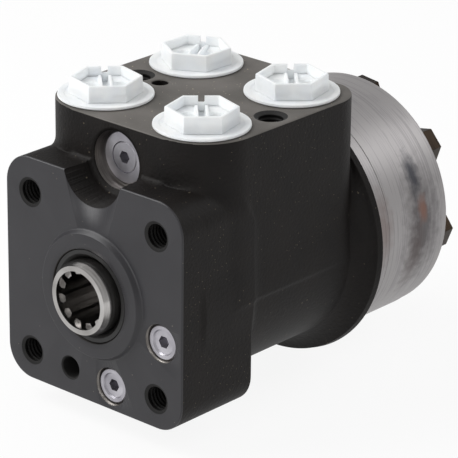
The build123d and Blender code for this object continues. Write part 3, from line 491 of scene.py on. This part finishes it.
# the skin: for each station along the shaft and each direction about it, the radius at
# which the distance above is zero, found by halving; then the front face and collar
def housingSkin():
    h, g = housing, skinGrid
    y = skinRows()
    w = blockHalfWidth(np.clip(y, h["bodyFront"], h["blockRear"]))
    top = np.arctan2(h["portFace"], w)[:, None]   # direction of the port face's right edge
    near = np.array(g["nearCorner"])
    t = np.concatenate([near, np.linspace(*g["sides"]), 1 - near[::-1]])[None, :]
    sides = (np.pi - top) + (np.pi + 2 * top) * t
    s = np.concatenate([g["topStart"], np.linspace(*g["top"]), g["topEnd"]])[None, :]
    across = np.arctan2(h["portFace"], (1 - 2 * s) * w[:, None]) + fullTurn
    angle = np.concatenate([sides, across], 1)
    c, sn, yy = np.cos(angle), np.sin(angle), np.broadcast_to(y[:, None], angle.shape)
    low, high = (np.full(angle.shape, limit) for limit in g["search"])
    for _ in range(g["halvings"]):
        middle = (low + high) / 2
        inside = housingDistance(middle * c, yy, middle * sn) < 0
        low, high = np.where(inside, middle, low), np.where(inside, high, middle)
    radius = (low + high) / 2
    body = np.stack([radius * c, yy, radius * sn], -1)
    rings = [(g["collarBore"], -h["collarHeight"])]
    rings += [(h["collarTop"] + out, -h["collarHeight"] + along) for out, along in g["collarCorner"]]
    rings += [(h["collarBase"] + out, along) for out, along in g["collarFoot"]]
    rings = np.array(rings)
    c0, s0 = c[:1], sn[:1]
    collar = np.stack([rings[:, :1] * c0, np.broadcast_to(rings[:, 1:], (len(rings), c0.shape[1])),
                       rings[:, :1] * s0], -1)
    faceRadius = rings[-1, 0] + np.array(g["face"])[:, None] * (radius[0] - rings[-1, 0])
    face = np.stack([faceRadius * c0, np.zeros_like(faceRadius), faceRadius * s0], -1)
    return closedGrid(np.concatenate([collar, face, body]), False)


# how far a cutter stands out of the casting or laps into the hole before it, the radius at
# which it closes on its axis, and a thread groove's corners in pitches
cutting = {"past": 3, "farPast": 4, "lap": 1, "axis": 0.02, "groove": (0, 0.15, 0.5, 0.65)}
# holes: a mouth is (how much wider, how deep), a point is the length of the drill's point
bolts = {
    "half": 29.17, "radius": 4.25, "depth": 18.0, "pitch": 1.5, "thread": 0.3, "mouth": (1.1, 0.6),
    "point": 2.5,
}
blind = {"x": -10.8, "z": -30.1, "radius": 3.7, "depth": 10.0, "mouth": (0.7, 0.6), "point": 2.2}
topHoles = {
    "x": (-28.3, 32.4), "y": 52.3, "radius": 4.25, "depth": 16.0, "pitch": 1.5, "thread": 0.3,
    "mouth": (1.5, 0.9), "point": 2.5,
}
gauge = {"x": -17.8, "y": 51.9, "radius": 2.9, "depth": 8.0, "mouth": (0.4, 0.4), "point": 1.7}
ports = {
    "x": 22.04, "y": (29.6, 75.0), "radius": 9.32, "depth": 16.0, "mouth": (1.5, 1.4), "step": 1.0,
    "chamber": (7.0, 37.0),
}
bore = {
    "seal": 16.3, "sealDepth": 2.4, "mouth": (0.5, 0.5), "neck": 13.6, "neckEnd": 4.0, "gland": 17.5,
    "glandEnd": 8.0, "bore": 19.0,
}
shocks = {
    "circle": 32.3, "angles": (-15, -75), "mouth": 6.8, "recess": 1.4, "bore": 6.15, "depth": 11.5,
    "point": 2.0,
}
relief = {
    "z": 45.0, "scallop": (13.4, 12.2), "flare": 0.2, "foot": ((0.3, 1.5), (-0.6, 0.0)), "floor": 12.0,
    "mouth": 10.3, "recess": 16.1, "bore": 9.45, "end": 30.6, "point": 3.0,
}
screws = {"circle": 34.5, "count": 7, "hole": 3.4, "depth": 21.0, "point": 1.0}


# places on a circle about the shaft, as (x, z)
def onCircle(radius, angles):
    return [(radius * np.cos(a), radius * np.sin(a)) for a in angles]


boltPlaces = [(x, z) for x in (-bolts["half"], bolts["half"]) for z in (-bolts["half"], bolts["half"])]
portPlaces = [(x, y) for x in (-ports["x"], ports["x"]) for y in ports["y"]]
shockPlaces = onCircle(shocks["circle"], np.radians(shocks["angles"]))
screwPlaces = onCircle(screws["circle"], np.pi / 2 + np.arange(screws["count"]) * fullTurn / screws["count"])


# rows of a tapped hole: the radius steps in and out once a pitch
def threadRows(hole):
    radius, pitch, height, end = hole["radius"], hole["pitch"], hole["thread"], hole["depth"]
    turns = int((end - 2 * pitch) / pitch)
    base = pitch + np.repeat(np.arange(turns), 4) * pitch
    flanks = np.tile(cutting["groove"], turns) * pitch
    grooves = np.tile([0, height, height, 0], turns)
    wide, deep = hole["mouth"]
    along = np.concatenate([[-cutting["past"], 0, deep], base + flanks, [end, end + hole["point"]]])
    radii = np.concatenate([[radius + wide] * 2 + [radius], radius + grooves, [radius, cutting["axis"]]])
    return np.stack([radii, along], -1)


# rows of a plain hole: a chamfered mouth, straight sides and a drill's point
def plainRows(hole):
    wide, deep = hole["mouth"]
    return [(hole["radius"] + wide, -cutting["past"]), (hole["radius"] + wide, 0), (hole["radius"], deep),
            (hole["radius"], hole["depth"]), (cutting["axis"], hole["depth"] + hole["point"])]


# a cutter from (radius, depth) rows, into the flange face or down into the port face
def sunk(rows, place, kind="hole", down=False):
    profile = np.array(rows, float)
    if down:
        profile[:, 1] = housing["portFace"] - profile[:, 1]
    return carried(circleOutline(kind), profile, place, "z" if down else "y", False)


# rows of a bore in steps: from a start, through each (radius, end) in turn
def stepRows(start, widths):
    rows = []
    for radius, end in widths:
        rows += [(radius, start), (radius, end)]
        start = end
    return rows


# a bore in steps as a cutter, closed on its axis a point's length past its end
def stepped(start, widths, place, kind, axis="y", point=0.0):
    rows = stepRows(start, widths)
    rows.append((cutting["axis"], rows[-1][1] + point))
    return carried(circleOutline(kind), rows, place, axis, False)


# a ring about the shaft as a cutter
def ringCutter(inside, outside, start, end):
    return carried(circleOutline("bore"), [(inside, start), (outside, start), (outside, end), (inside, end)])


# holes that open in the outer faces, and the bore for the spool
def housingCutters():
    h, c, r, b = housing, cutting, relief, bore
    cuts = [sunk(threadRows(bolts), place) for place in boltPlaces]
    cuts.append(sunk(plainRows(blind), (blind["x"], blind["z"])))
    cuts += [sunk(threadRows(topHoles), (x, topHoles["y"]), down=True) for x in topHoles["x"]]
    cuts.append(sunk(plainRows(gauge), (gauge["x"], gauge["y"]), down=True))
    wide, deep = ports["mouth"]
    narrow, end = ports["chamber"][0], h["portFace"] - ports["chamber"][1]
    rows = [(ports["radius"] + wide, -c["past"]), (ports["radius"] + wide, 0), (ports["radius"], deep),
            (ports["radius"], ports["depth"]), (narrow, ports["depth"] + ports["step"]), (narrow, end),
            (c["axis"], end)]
    cuts += [sunk(rows, place, "port", True) for place in portPlaces]
    wide, deep = b["mouth"]
    front, rear = -h["collarHeight"], h["length"] + c["past"]
    first, mouth = front - c["farPast"], b["seal"] + wide
    rows = [(c["axis"], first), (mouth, first), (mouth, front)]
    rows += stepRows(front + deep, [(b["seal"], b["sealDepth"]), (b["neck"], b["neckEnd"]),
                                    (b["gland"], b["glandEnd"]), (b["bore"], rear)])
    rows.append((c["axis"], rear))
    cuts.append(sunk(rows, (0, 0), "bore"))
    widths = [(shocks["mouth"], shocks["recess"]), (shocks["bore"], shocks["depth"])]
    cuts += [stepped(-c["past"], widths, place, "hole", point=shocks["point"]) for place in shockPlaces]
    wide, narrow = r["scallop"]
    rows = [(wide + r["flare"], -c["farPast"]), (wide, 0)]
    rows += [(narrow + out, r["floor"] - above) for out, above in r["foot"]]
    rows += stepRows(r["floor"], [(r["mouth"], r["recess"]), (r["bore"], r["end"])])
    rows.append((c["axis"], r["end"] + r["point"]))
    cuts.append(sunk(rows, (0, r["z"]), "bore"))
    widths = [(screws["hole"], h["length"] - screws["depth"])]
    cuts += [stepped(rear, widths, place, "narrow", point=-screws["point"]) for place in screwPlaces]
    return cuts


inner = {
    "shockBore": 4.2, "shockEnd": 34.0, "shockOutlet": (1.6, 38.0), "reliefBore": 5.0, "reliefSeat": 59.6,
    "drain": (2.5, 65.6), "suctionCircle": 33.0, "suctionBore": 3.2, "suctionFloor": 78.4,
    "suctionOutlet": (1.6, 72.4), "check": (4.6, 27.0), "passage": 3.0, "passageShift": 3.4,
    "passageFloor": 9.6, "groove": 21.5, "grooveHalf": 2.0, "channelCircle": 25.4, "channel": 2.2,
    "channelFront": 84.5, "ringGroove": (23.8, 3.0), "seal": (39.75, 41.65, 1.5),
}
sevenths = np.pi / 2 + (np.arange(7) + 0.5) * fullTurn / 7
suctionPlaces = onCircle(inner["suctionCircle"], sevenths[[4, 1]])
channelPlaces = onCircle(inner["channelCircle"], sevenths)


# bores that hold springs, balls, seats and pins behind the plugs and in the rear face, and
# the rear face's channels and seal groove
def boreCutters():
    i, lap, far = inner, cutting["lap"], housing["length"]
    rear = far + cutting["past"]
    widths = [(i["shockBore"], i["shockEnd"]), i["shockOutlet"]]
    cuts = [stepped(shocks["depth"] - lap, widths, place, "inner") for place in shockPlaces]
    cuts.append(stepped(relief["end"] - lap, [(i["reliefBore"], i["reliefSeat"]), i["drain"]],
                        (0, relief["z"]), "inner"))
    cuts += [stepped(rear, [(i["suctionBore"], i["suctionFloor"]), i["suctionOutlet"]], place, "inner")
             for place in suctionPlaces]
    cuts.append(stepped(ports["chamber"][1] + lap, [i["check"]], (-ports["x"], ports["y"][0]), "inner", "z"))
    cuts += [stepped(rear, [(i["channel"], i["channelFront"])], place, "channel") for place in channelPlaces]
    low, high, deep = i["seal"]
    cuts.append(ringCutter(low, high, far - deep, rear))
    return cuts


# oil passages down from the ports, and the relief valve's drain
def passageCutters():
    i, lap, cuts = inner, cutting["lap"], []
    for x, y in portPlaces:
        shift = i["passageShift"] * (1 if x > 0 else -1)
        cuts.append(stepped(ports["chamber"][1] + lap, [(i["passage"], i["passageFloor"])], (x, y + shift),
                            "narrow", "z"))
    wide, end = i["drain"]
    cuts.append(stepped(relief["z"], [(wide, bore["bore"] - lap)], (0, (i["reliefSeat"] + end) / 2),
                        "narrow", "z"))
    return cuts


# annular oil grooves in the bore
def grooveCutters():
    i, (front, rear) = inner, ports["y"]
    shift, half, inside = i["passageShift"], i["grooveHalf"], bore["bore"] - cutting["lap"]
    cuts = [ringCutter(inside, i["groove"], y - half, y + half)
            for y in (front - shift, front + shift, (front + rear) / 2, rear - shift, rear + shift)]
    wide, length = i["ringGroove"]
    cuts.append(ringCutter(inside, wide, i["channelFront"], i["channelFront"] + length))
    return cuts


# subtracts one mesh from another for good
def cutAway(made, cutter):
    cut = made.modifiers.new("cut", "BOOLEAN")
    cut.operation = "DIFFERENCE"
    cut.object = cutter
    cut.solver = "MANIFOLD"
    applyModifiers(made)
    bpy.data.objects.remove(cutter)


# how far past a hole's radius or depth its faces are looked for, where the looking ends
# (y or z), how far in from a flat face it starts, and how squarely a face must look
sorting = {
    "inward": 0.02, "faceBand": 0.1, "topBand": 0.5, "topFacing": 0.3, "rearFacing": 0.9,
    "boreBand": 0.6, "boreStart": -1.9, "threadBand": 0.6, "threadPast": 5, "blindBand": 0.8, "blindPast": 4,
    "mouthBand": 1.6, "topHoleEnd": 35, "portEnd": 30, "shockBand": 0.1, "shockEnd": 20,
    "reliefBand": 0.2, "reliefEnd": 40,
}


# the finish of each face, from where its middle lies and which way it looks
def sortFaces(made):
    count = len(made.data.polygons)
    centre, normal = np.zeros(count * 3), np.zeros(count * 3)
    made.data.polygons.foreach_get("center", centre)
    made.data.polygons.foreach_get("normal", normal)
    x, y, z = centre.reshape(-1, 3).T / mm
    ny, nz = normal.reshape(-1, 3).T[1:]
    h, s, pick, order = housing, sorting, np.zeros(count, int), list(looks)

    # faces within reach of an axis and between two places along it
    def mark(look, place, reach, start, end, down=False):
        across, along = (y, z) if down else (z, y)
        away = np.hypot(x - place[0], across - place[1])
        pick[(away < reach) & (along > start) & (along < end)] = order.index(look)

    pick[(y < h["edge"] + s["faceBand"]) & (z < h["flangeHigh"])] = order.index("face")
    pick[(z > h["portFace"] - s["topBand"]) & (nz > s["topFacing"])] = order.index("top")
    top = h["portFace"] - s["inward"]
    mark("hole", (0, 0), bore["seal"] + s["boreBand"], s["boreStart"], np.inf)
    mark("hole", (0, 0), bore["bore"] + s["boreBand"], bore["neckEnd"], h["length"] - s["faceBand"])
    for place in boltPlaces:
        reach = bolts["radius"] + bolts["thread"] + s["threadBand"]
        mark("thread", place, reach, s["inward"], bolts["depth"] + s["threadPast"])
    mark("thread", (blind["x"], blind["z"]), blind["radius"] + s["blindBand"], s["inward"],
         blind["depth"] + s["blindPast"])
    for a in topHoles["x"]:
        mark("thread", (a, topHoles["y"]), topHoles["radius"] + s["mouthBand"], s["topHoleEnd"], top, True)
    for place in portPlaces:
        mark("hole", place, ports["radius"] + s["mouthBand"], s["portEnd"], top, True)
    for place in shockPlaces:
        mark("bright", place, shocks["mouth"] + s["shockBand"], s["inward"], s["shockEnd"])
    mark("bright", (0, relief["z"]), relief["mouth"] + s["reliefBand"], relief["floor"] - s["faceBand"],
         s["reliefEnd"])
    pick[(y > h["length"] - s["inward"]) & (ny > s["rearFacing"])] = order.index("bright")
    made.data.polygons.foreach_set("material_index", pick)


skin = meshObject("housing_casting", [housingSkin()])
for batch in (housingCutters(), boreCutters(), passageCutters(), grooveCutters()):
    cutAway(skin, meshObject("cutters", batch))
smooth(skin, sharpFrom["casting"])
dress(skin, list(looks.values()), "housing_body", ["housing"])
sortFaces(skin)
print("housing casting:", len(skin.data.polygons), "faces")


stack = {"radius": 44.0, "coverRadius": 43.7, "ease": 0.3, "easeRows": 3, "level": 0.01, "within": 0.03}
# grain sizes in millimetres; a stop past 1 acts at 1
stackLook = {
    "fine": {"size": 0.55, "detail": 2, "stretch": (0.02, 1, 0.02)},
    "wide": {"size": 2.4, "detail": 2, "stretch": (0.05, 1, 0.05)}, "wideShare": 0.6,
    "cloud": {"size": 16, "detail": 3, "stretch": (1, 0.5, 1)}, "cloudShare": 0.5,
    "greys": [(0.75, "#908d8d"), (1.05, "#979495"), (1.3, "#a09d9d")],
    "metal": 0.6, "rough": 0.48, "depth": 0.004,
    "ruffle": {"size": 3.0, "detail": 3}, "ruffleShare": 0.9, "patchOutside": 1.6, "patchInside": 0.7,
}
# painted dark reflections on the gear set, as patches on its right side: colour, direction about the shaft
# (degrees), y, half-length round the rim, half-width along the shaft, and how strongly it shows
reflectionPatches = [
    ("#3f3a3c", 2, 122, 24, 10, 0.75), ("#35373f", 27, 121, 9, 3.6, 0.85),
    ("#8a5a44", 10, 122.5, 6, 2.8, 0.55), ("#4a3b38", -12, 119, 16, 5, 0.5),
    ("#6b5148", 8, 101, 16, 5, 0.45),
]


# alloy steel, turned and ground, bare: satin lathe lines round the shaft, soft clouds of near greys, and
# brown and dark patches with ruffled edges, which are painted reflections of darker surroundings on its
# right side
def stackSteel(name):
    finish, tree = newFinish(name)
    s = stackLook
    place = addNode(tree, "ShaderNodeTexCoord").outputs["Object"]
    fine, wide, cloud = (grain(tree, **s[key]) for key in ("fine", "wide", "cloud"))
    lines = mathNode(tree, "MULTIPLY_ADD", wide, s["wideShare"], fine)
    base = ramp(tree, s["greys"], mathNode(tree, "MULTIPLY_ADD", cloud, s["cloudShare"], lines))
    ruffle = grain(tree, **s["ruffle"])
    # each painted reflection patch blends a darker colour in and fades out over a ruffled edge
    for colour, degrees, along, halfRound, halfAlong, strength in reflectionPatches:
        at, radius = np.radians(degrees), stack["radius"] * mm
        spot = (radius * np.cos(at), along * mm, radius * np.sin(at))
        shrink = (1 / (halfRound * mm), 1 / (halfAlong * mm), 1 / (halfRound * mm))
        away = addNode(tree, "ShaderNodeVectorMath", {"operation": "SUBTRACT", 1: spot}, {0: place})
        sized = addNode(tree, "ShaderNodeVectorMath", {"operation": "MULTIPLY", 1: shrink},
                        {0: away.outputs[0]})
        far = addNode(tree, "ShaderNodeVectorMath", {"operation": "LENGTH"}, {0: sized.outputs[0]})
        patchReach = mathNode(tree, "MULTIPLY_ADD", ruffle, s["ruffleShare"], far.outputs["Value"])
        soft = addNode(tree, "ShaderNodeMapRange", {
            "From Min": s["patchOutside"], "From Max": s["patchInside"], "To Min": 0.0, "To Max": strength,
        }, {"Value": patchReach})
        base = blendColours(tree, soft.outputs["Result"], base, colour)
    closeFinish(tree, base, {"Metallic": s["metal"], "Roughness": s["rough"]}, fine, s["depth"])
    return finish


# rounds the edges that run round the shaft at one radius
def easeRims(work, radius):
    s = stack
    rims = [e for e in work.edges
            if abs(e.verts[0].co.y - e.verts[1].co.y) < s["level"] * mm
            and all(abs(np.hypot(v.co.x, v.co.z) - radius * mm) < s["within"] * mm for v in e.verts)]
    bmesh.ops.bevel(work, geom=rims, offset=s["ease"] * mm, segments=s["easeRows"], profile=0.5,
                    affect="EDGES")


ringSteel = stackSteel("turned_ring_steel")
for node, name, radius in (("distributor_plate", "distributor_plate_rim", stack["radius"]),
                           ("gear_ring", "gear_ring_rim", stack["radius"]),
                           ("end_cover", "end_cover_face", stack["coverRadius"])):
    made = mergedCopy(node, name, sharpFrom["turned"])
    edit(made.data, lambda work: easeRims(work, radius))
    smooth(made, sharpFrom["turned"])
    dress(made, [ringSteel], "housing_body", [node])
print("gear set stack dressed")


# heads: the crown is (drawn in, below the top) rows, and turns are in radians
screwHead = {
    "width": 13.0, "height": 6.8, "seat": 136.4, "corner": 0.25,
    "crown": ((0.0, 0.9), (0.25, 0.45), (0.9, 0.1), (1.4, 0.0)), "firstTurn": 0.4, "nextTurn": 1.1,
    "washer": 1.2, "washerRadius": 6.75, "washerBore": 4.4, "washerEase": 0.25, "easePoints": 4,
}


# a hexagon head: the outline drawn in at its crown, where the chamfer turns it round
def hexHead(place, turn):
    s = screwHead
    start = s["seat"] + s["washer"]
    top = start + s["height"]
    profile = [(s["corner"], start)] + [(s["corner"] - inward, top - below) for inward, below in s["crown"]]
    return carried(polygonOutline(6, s["width"], s["corner"], turn), profile, place, closed=False)


# a ring with eased corners under each head
def washers():
    s = screwHead
    low, high = s["seat"], s["seat"] + s["washer"]
    inside, outside = s["washerBore"], s["washerRadius"]
    section = [(inside, low), (outside, low), (outside, high), (inside, high)]
    profile = eased(section, s["washerEase"], s["easePoints"])
    return [carried(circleOutline("hole"), profile, place) for place in screwPlaces]


heads = [hexHead(place, screwHead["firstTurn"] + screwHead["nextTurn"] * n)
         for n, place in enumerate(screwPlaces)]
for name, shapes, finish, slot, node in (
        ("cover_screw_heads", heads[1:], screwSteel, "screw_steel", "cover_screws"),
        ("locating_screw_head", heads[:1], screwSteel, "screw_steel", "locating_screw"),
        ("screw_washers", washers(), washerSteel, "zinc_steel", "cover_washers")):
    dress(meshObject(name, shapes), [finish], "housing_body", [node])
print("screws and washers dressed")


# nitrile rubber, moulded: near black, matt, with a faint sheen on its lip
def rubber(name):
    finish, tree = newFinish(name)
    base = ramp(tree, [(0.3, "#0c0b0b"), (0.7, "#151414")], grain(tree, size=4))
    closeFinish(tree, base, {"Roughness": 0.45}, grain(tree, size=0.4), depth=0.01)
    return finish


rubberFinish = rubber("nitrile_rubber")
for node, name, finish, slot, sharp in (
        ("spool", "spool_nose", spoolSteel, "ground_steel", "spool"),
        ("dust_seal", "dust_seal_ring", rubberFinish, "seal_rubber", "turned"),
        ("relief_plug", "relief_valve_plug", zincSteel, "zinc_steel", "turned"),
        ("relief_screw", "relief_valve_screw", zincSteel, "zinc_steel", "turned"),
        ("shock_plugs", "shock_valve_plugs", zincSteel, "zinc_steel", "turned")):
    made = mergedCopy(node, name, sharpFrom[sharp])
    dress(made, [finish], nodes[node]["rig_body"], [node])
print("spool, seal and plugs dressed")


# low-density polyethylene, injection moulded: milky white, waxy, lit through its walls
def polyethylene(name):
    finish, tree = newFinish(name)
    base = ramp(tree, [(0.3, "#eef2f6"), (0.7, "#f8faf9")], grain(tree, size=9))
    closeFinish(tree, base, {
        "Roughness": 0.4, "IOR": 1.51, "Subsurface Weight": 0.55, "Subsurface Radius": (1.0, 1.0, 1.0),
        "Subsurface Scale": 2.2 * mm,
    }, grain(tree, size=1.6), depth=0.01)
    return finish


capFinish = polyethylene("moulded_polyethylene")
# radii, but "head" is across flats; heights are z; edges are (across, up or down) offsets
# from a corner; the notch is drawn on +x, a quarter turn before the turns' start
cap = {
    "flange": 16.54, "seat": 58.1, "flangeTop": 59.3, "lip": 2.3, "lipHeight": 0.35, "lipEase": 0.3,
    "underEdge": ((0.5, 0.0), (0.1, 0.2), (0.0, 0.5)), "rimEdge": ((0.1, 0.1), (0.4, 0.0)), "edge": 0.1,
    "head": 22.0, "top": 64.9, "wall": 1.3, "corner": 0.5, "draft": 0.3, "innerDraft": 0.1, "sink": 0.3,
    "outerEdge": ((0.0, 0.3), (0.2, 0.08), (0.6, 0.0)), "innerEdge": ((0.4, 0.0), (0.1, 0.15)),
    "floor": 3.4, "floorReach": 0.97, "floorRows": 161, "floorColumns": 81,
    "well": 3.5, "wellAt": 5.0, "wellFloor": 5.3, "wellEdge": 0.5,
    "web": 0.55, "webAt": 1.7, "webTop": 1.7, "webSag": 1.5, "webEdge": 0.15, "slotEdge": 0.2,
    "notch": 2.2, "notchDepth": 2.3, "notchCorner": 0.3, "notchPast": 3,
    "shank": 9.2, "shankBore": 7.7, "shankEnd": 50.1, "quarter": 90,
    "turns": {"cap_front_left": 46.7, "cap_front_right": 43.7, "cap_rear_left": 28.7,
              "cap_rear_right": 43.7},
}


# 0 below low, 1 above high, and 3 t^2 - 2 t^3 of the way t between
def softStep(value, low, high):
    t = np.clip((value - low) / (high - low), 0, 1)
    return t * t * (3 - 2 * t)


# the head's hollow hexagon: six-sided rows stacked up the outside, over the rim and down inside
def capWall():
    c = cap
    low, top = c["flangeTop"] - c["sink"], c["top"]
    outside, inside = c["head"] - c["draft"], c["head"] - 2 * c["wall"]
    rows = [(c["head"], low)]
    rows += [(outside - inward, top - below) for inward, below in c["outerEdge"]]
    rows += [(inside + outward, top - below) for outward, below in c["innerEdge"]]
    rows.append((inside - c["innerDraft"], low))
    points = []
    for across, height in rows:
        hub, direction = polygonOutline(6, across, c["corner"])
        flat = hub + c["corner"] * direction
        points.append(np.column_stack([flat, np.full(len(flat), height)]))
    return closedGrid(np.stack(points), True)


# the floor inside the hexagon as a depth below the top over (u, v): a round well either
# side, two thin webs along u with a slot between them, their crests lowest at the wall; a
# loop over the top and back below for each v
def capFloor():
    c = cap
    half = c["head"] / 2 - c["wall"] / 2
    point = half / np.cos(np.pi / 6)
    reach = c["floorReach"] * point
    v = np.linspace(-reach, reach, c["floorRows"])[:, None]
    reach = np.minimum(half, (point - np.abs(v)) * np.tan(np.pi / 3))
    u = np.linspace(-1, 1, c["floorColumns"])[None, :] * reach
    wells = np.hypot(u, np.abs(v) - c["wellAt"])
    inWell = 1 - softStep(wells, c["well"] - c["wellEdge"], c["well"])
    depth = c["floor"] + (c["wellFloor"] - c["floor"]) * inWell
    slotHalf = c["webAt"] - c["web"]
    depth = depth + (c["wellFloor"] - depth) * (1 - softStep(np.abs(v), slotHalf - c["slotEdge"], slotHalf))
    fromWeb = np.abs(np.abs(v) - c["webAt"])
    web = 1 - softStep(fromWeb, c["web"] - c["webEdge"], c["web"] + c["webEdge"])
    crest = c["webTop"] + c["webSag"] * (u / half) ** 2
    depth = np.minimum(depth, depth + (crest - depth) * web)
    upper = np.stack([u, np.broadcast_to(v, u.shape), c["top"] - depth], -1)
    lower = upper[:, ::-1].copy()
    lower[..., 2] = c["flangeTop"] - c["sink"]
    return closedGrid(np.concatenate([upper, lower], 1), False)


# a shape turned about z and set down at its port
def placedAt(shape, x, y, degrees):
    flat, quads, tris = shape
    a = np.radians(degrees)
    moved = np.stack([x + flat[:, 0] * np.cos(a) - flat[:, 1] * np.sin(a),
                      y + flat[:, 0] * np.sin(a) + flat[:, 1] * np.cos(a), flat[:, 2]], -1)
    return moved, quads, tris


# the flange with its raised lip, and the shank below it
def capBase():
    c = cap
    rim, top, low, edge = c["flange"], c["flangeTop"], c["seat"], c["edge"]
    inner, ease, web = c["flange"] - c["lip"], c["lipEase"], c["flangeTop"] - c["lipHeight"]
    profile = [(c["shankBore"], c["shankEnd"]), (c["shank"], c["shankEnd"]), (c["shank"], low)]
    profile += [(rim - inward, low + above) for inward, above in c["underEdge"]]
    profile += [(rim - inward, top - below) for inward, below in c["rimEdge"]]
    profile += [(inner + ease, top), (inner, top - edge), (inner - ease, web), (cutting["axis"], web),
                (cutting["axis"], low - edge), (c["shankBore"], low - edge)]
    return carried(circleOutline("cap"), profile, axis="z")


# the notch in the middle of one side of the hexagon: a square bar with round corners,
# its upper half lifted clear of the rim
def notchCutter():
    c = cap
    out, past = c["head"] / 2, c["notchPast"]
    hub, direction = polygonOutline(4, c["notch"], c["notchCorner"])
    flat = hub + c["notchCorner"] * direction
    middle = c["top"] - c["notchDepth"] + c["notch"] / 2
    height = middle + flat[:, 1]
    height = np.where(height > middle, height + past, height)
    points = [np.column_stack([np.full(len(flat), along), flat[:, 0], height])
              for along in (out - past, out + past)]
    return closedGrid(np.stack(points), False)


for node, degrees in cap["turns"].items():
    x = ports["x"] * (1 if "right" in node else -1)
    y = ports["y"][0] if "front" in node else ports["y"][1]
    turn = cap["quarter"] + degrees
    wall, notch, web, base = (placedAt(shape(), x, y, turn)
                              for shape in (capWall, notchCutter, capFloor, capBase))
    made = meshObject(node + "_moulding", [wall])
    cutAway(made, meshObject("cutters", [notch]))
    joinInto(made, meshObject("rest", [web, base]))
    smooth(made, sharpFrom["turned"])
    dress(made, [capFinish], nodes[node]["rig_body"], [node])
print("port caps dressed")


# the finish of each piece that keeps its own shape, by its slot in the record
innerFinishes = {
    "seal_rubber": rubberFinish, "spring_steel": springSteel, "bearing_brass": bearingBrass,
    "ground_steel": innerSteel, "machined_steel": innerSteel, "zinc_steel": zincSteel,
    "screw_steel": screwSteel, "cast_iron_black": looks["side"], "cap_plastic": capFinish,
}
for name, made in nodes.items():
    if made.hide_render:
        continue
    found = made.data.materials[0].name if made.data.materials else ""
    finish = next((f for key, f in innerFinishes.items() if key in found), innerSteel)
    made.data.materials.clear()
    made.data.materials.append(finish)
print("inner pieces dressed")


# sizes in millimetres; glow is how much of the floor the camera and reflections see as lit
floorSpec = {"size": 6000.0, "drop": 0.3, "colour": "#fbfbfb", "glow": 0.9}


# a pale studio floor: diffuse, mostly white to the camera but still dark where the light
# is kept off it
def studioFloor():
    finish, tree = newFinish("pale_floor")
    seen = addNode(tree, "ShaderNodeLightPath")
    either = mathNode(tree, "MAXIMUM", seen.outputs["Is Camera Ray"], seen.outputs["Is Glossy Ray"])
    share = mathNode(tree, "MULTIPLY", either, floorSpec["glow"])
    lit = addNode(tree, "ShaderNodeBsdfDiffuse", {"Color": linear(floorSpec["colour"])})
    glow = addNode(tree, "ShaderNodeEmission", {"Color": (1, 1, 1, 1), "Strength": 1.0})
    both = addNode(tree, "ShaderNodeMixShader", {}, {0: share, 1: lit.outputs[0], 2: glow.outputs[0]})
    addNode(tree, "ShaderNodeOutputMaterial", {}, {"Surface": both.outputs[0]})
    return finish


lowest = cadBox[0][2] / mm - floorSpec["drop"]
half = floorSpec["size"] / 2
corners = np.array([(u * half, v * half, lowest) for u, v in ((-1, -1), (1, -1), (1, 1), (-1, 1))])
floorMesh = bpy.data.meshes.new("floor")
floorMesh.from_pydata((corners * mm).tolist(), [], [[0, 1, 2, 3]])
floor = sceneObject("floor", floorMesh)
floor.data.materials.append(studioFloor())

# a white world: full to the camera and through clear things, less in reflections, least
# as light on the pieces
skyLevels = {"reflected": 0.55, "light": 0.35}
world = bpy.data.worlds.new("studio")
bpy.context.scene.world = world
world.use_nodes = True
tree = world.node_tree
tree.nodes.clear()
seen = addNode(tree, "ShaderNodeLightPath")
clear = mathNode(tree, "MAXIMUM", seen.outputs["Is Camera Ray"], seen.outputs["Is Transmission Ray"])
shiny = mathNode(tree, "MULTIPLY", seen.outputs["Is Glossy Ray"], skyLevels["reflected"])
level = mathNode(tree, "MAXIMUM", clear, shiny)
level = mathNode(tree, "MAXIMUM", level, skyLevels["light"])
sky = addNode(tree, "ShaderNodeBackground", {"Color": (1, 1, 1, 1)}, {"Strength": level})
addNode(tree, "ShaderNodeOutputWorld", {}, {"Surface": sky.outputs[0]})


# where a lamp or camera stands, from its right, up and backward directions and its place
def standing(right, up, back, place):
    turn = np.eye(4)
    turn[:3, 0], turn[:3, 1], turn[:3, 2], turn[:3, 3] = right, up, back, place
    return Matrix(turn.tolist())


# soft boxes: place and the point that each looks at (m), size (m) and power (W)
softBoxes = {
    "key": ((-0.55, -0.35, 0.75), (0, 0.05, 0), 0.7, 7.5),
    "fill": ((0.25, -0.9, 0.35), (0, 0.05, 0), 0.6, 2.2),
    "rear": ((0.5, 0.85, 0.7), (0, 0.08, 0), 0.5, 3.0),
}
for name, (place, aim, size, power) in softBoxes.items():
    lamp = bpy.data.lights.new(name, "AREA")
    lamp.size = size
    lamp.energy = power
    made = sceneObject(name, lamp)
    back = np.array(place) - np.array(aim)
    back = back / np.linalg.norm(back)
    right = np.cross((0, 0, 1), back)
    right = right / np.linalg.norm(right)
    made.matrix_world = standing(right, np.cross(back, right), back, place)

# the camera: place and clip distances in metres, lens and sensor in millimetres
view = {
    "place": (0.660316, -0.673566, 0.404112), "right": (0.744206, 0.667871, 0.010277),
    "up": (-0.256801, 0.271882, 0.927434), "lens": 240.376, "sensor": 36.0, "clip": (0.05, 20),
}
lens = bpy.data.cameras.new("camera")
lens.lens, lens.sensor_width = view["lens"], view["sensor"]
lens.clip_start, lens.clip_end = view["clip"]
camera = sceneObject("camera", lens)
back = np.cross(view["right"], view["up"])
camera.matrix_world = standing(view["right"], view["up"], back, view["place"])
bpy.context.scene.camera = camera
bpy.context.scene.view_settings.view_transform = "Standard"
print("floor, light and camera ready")
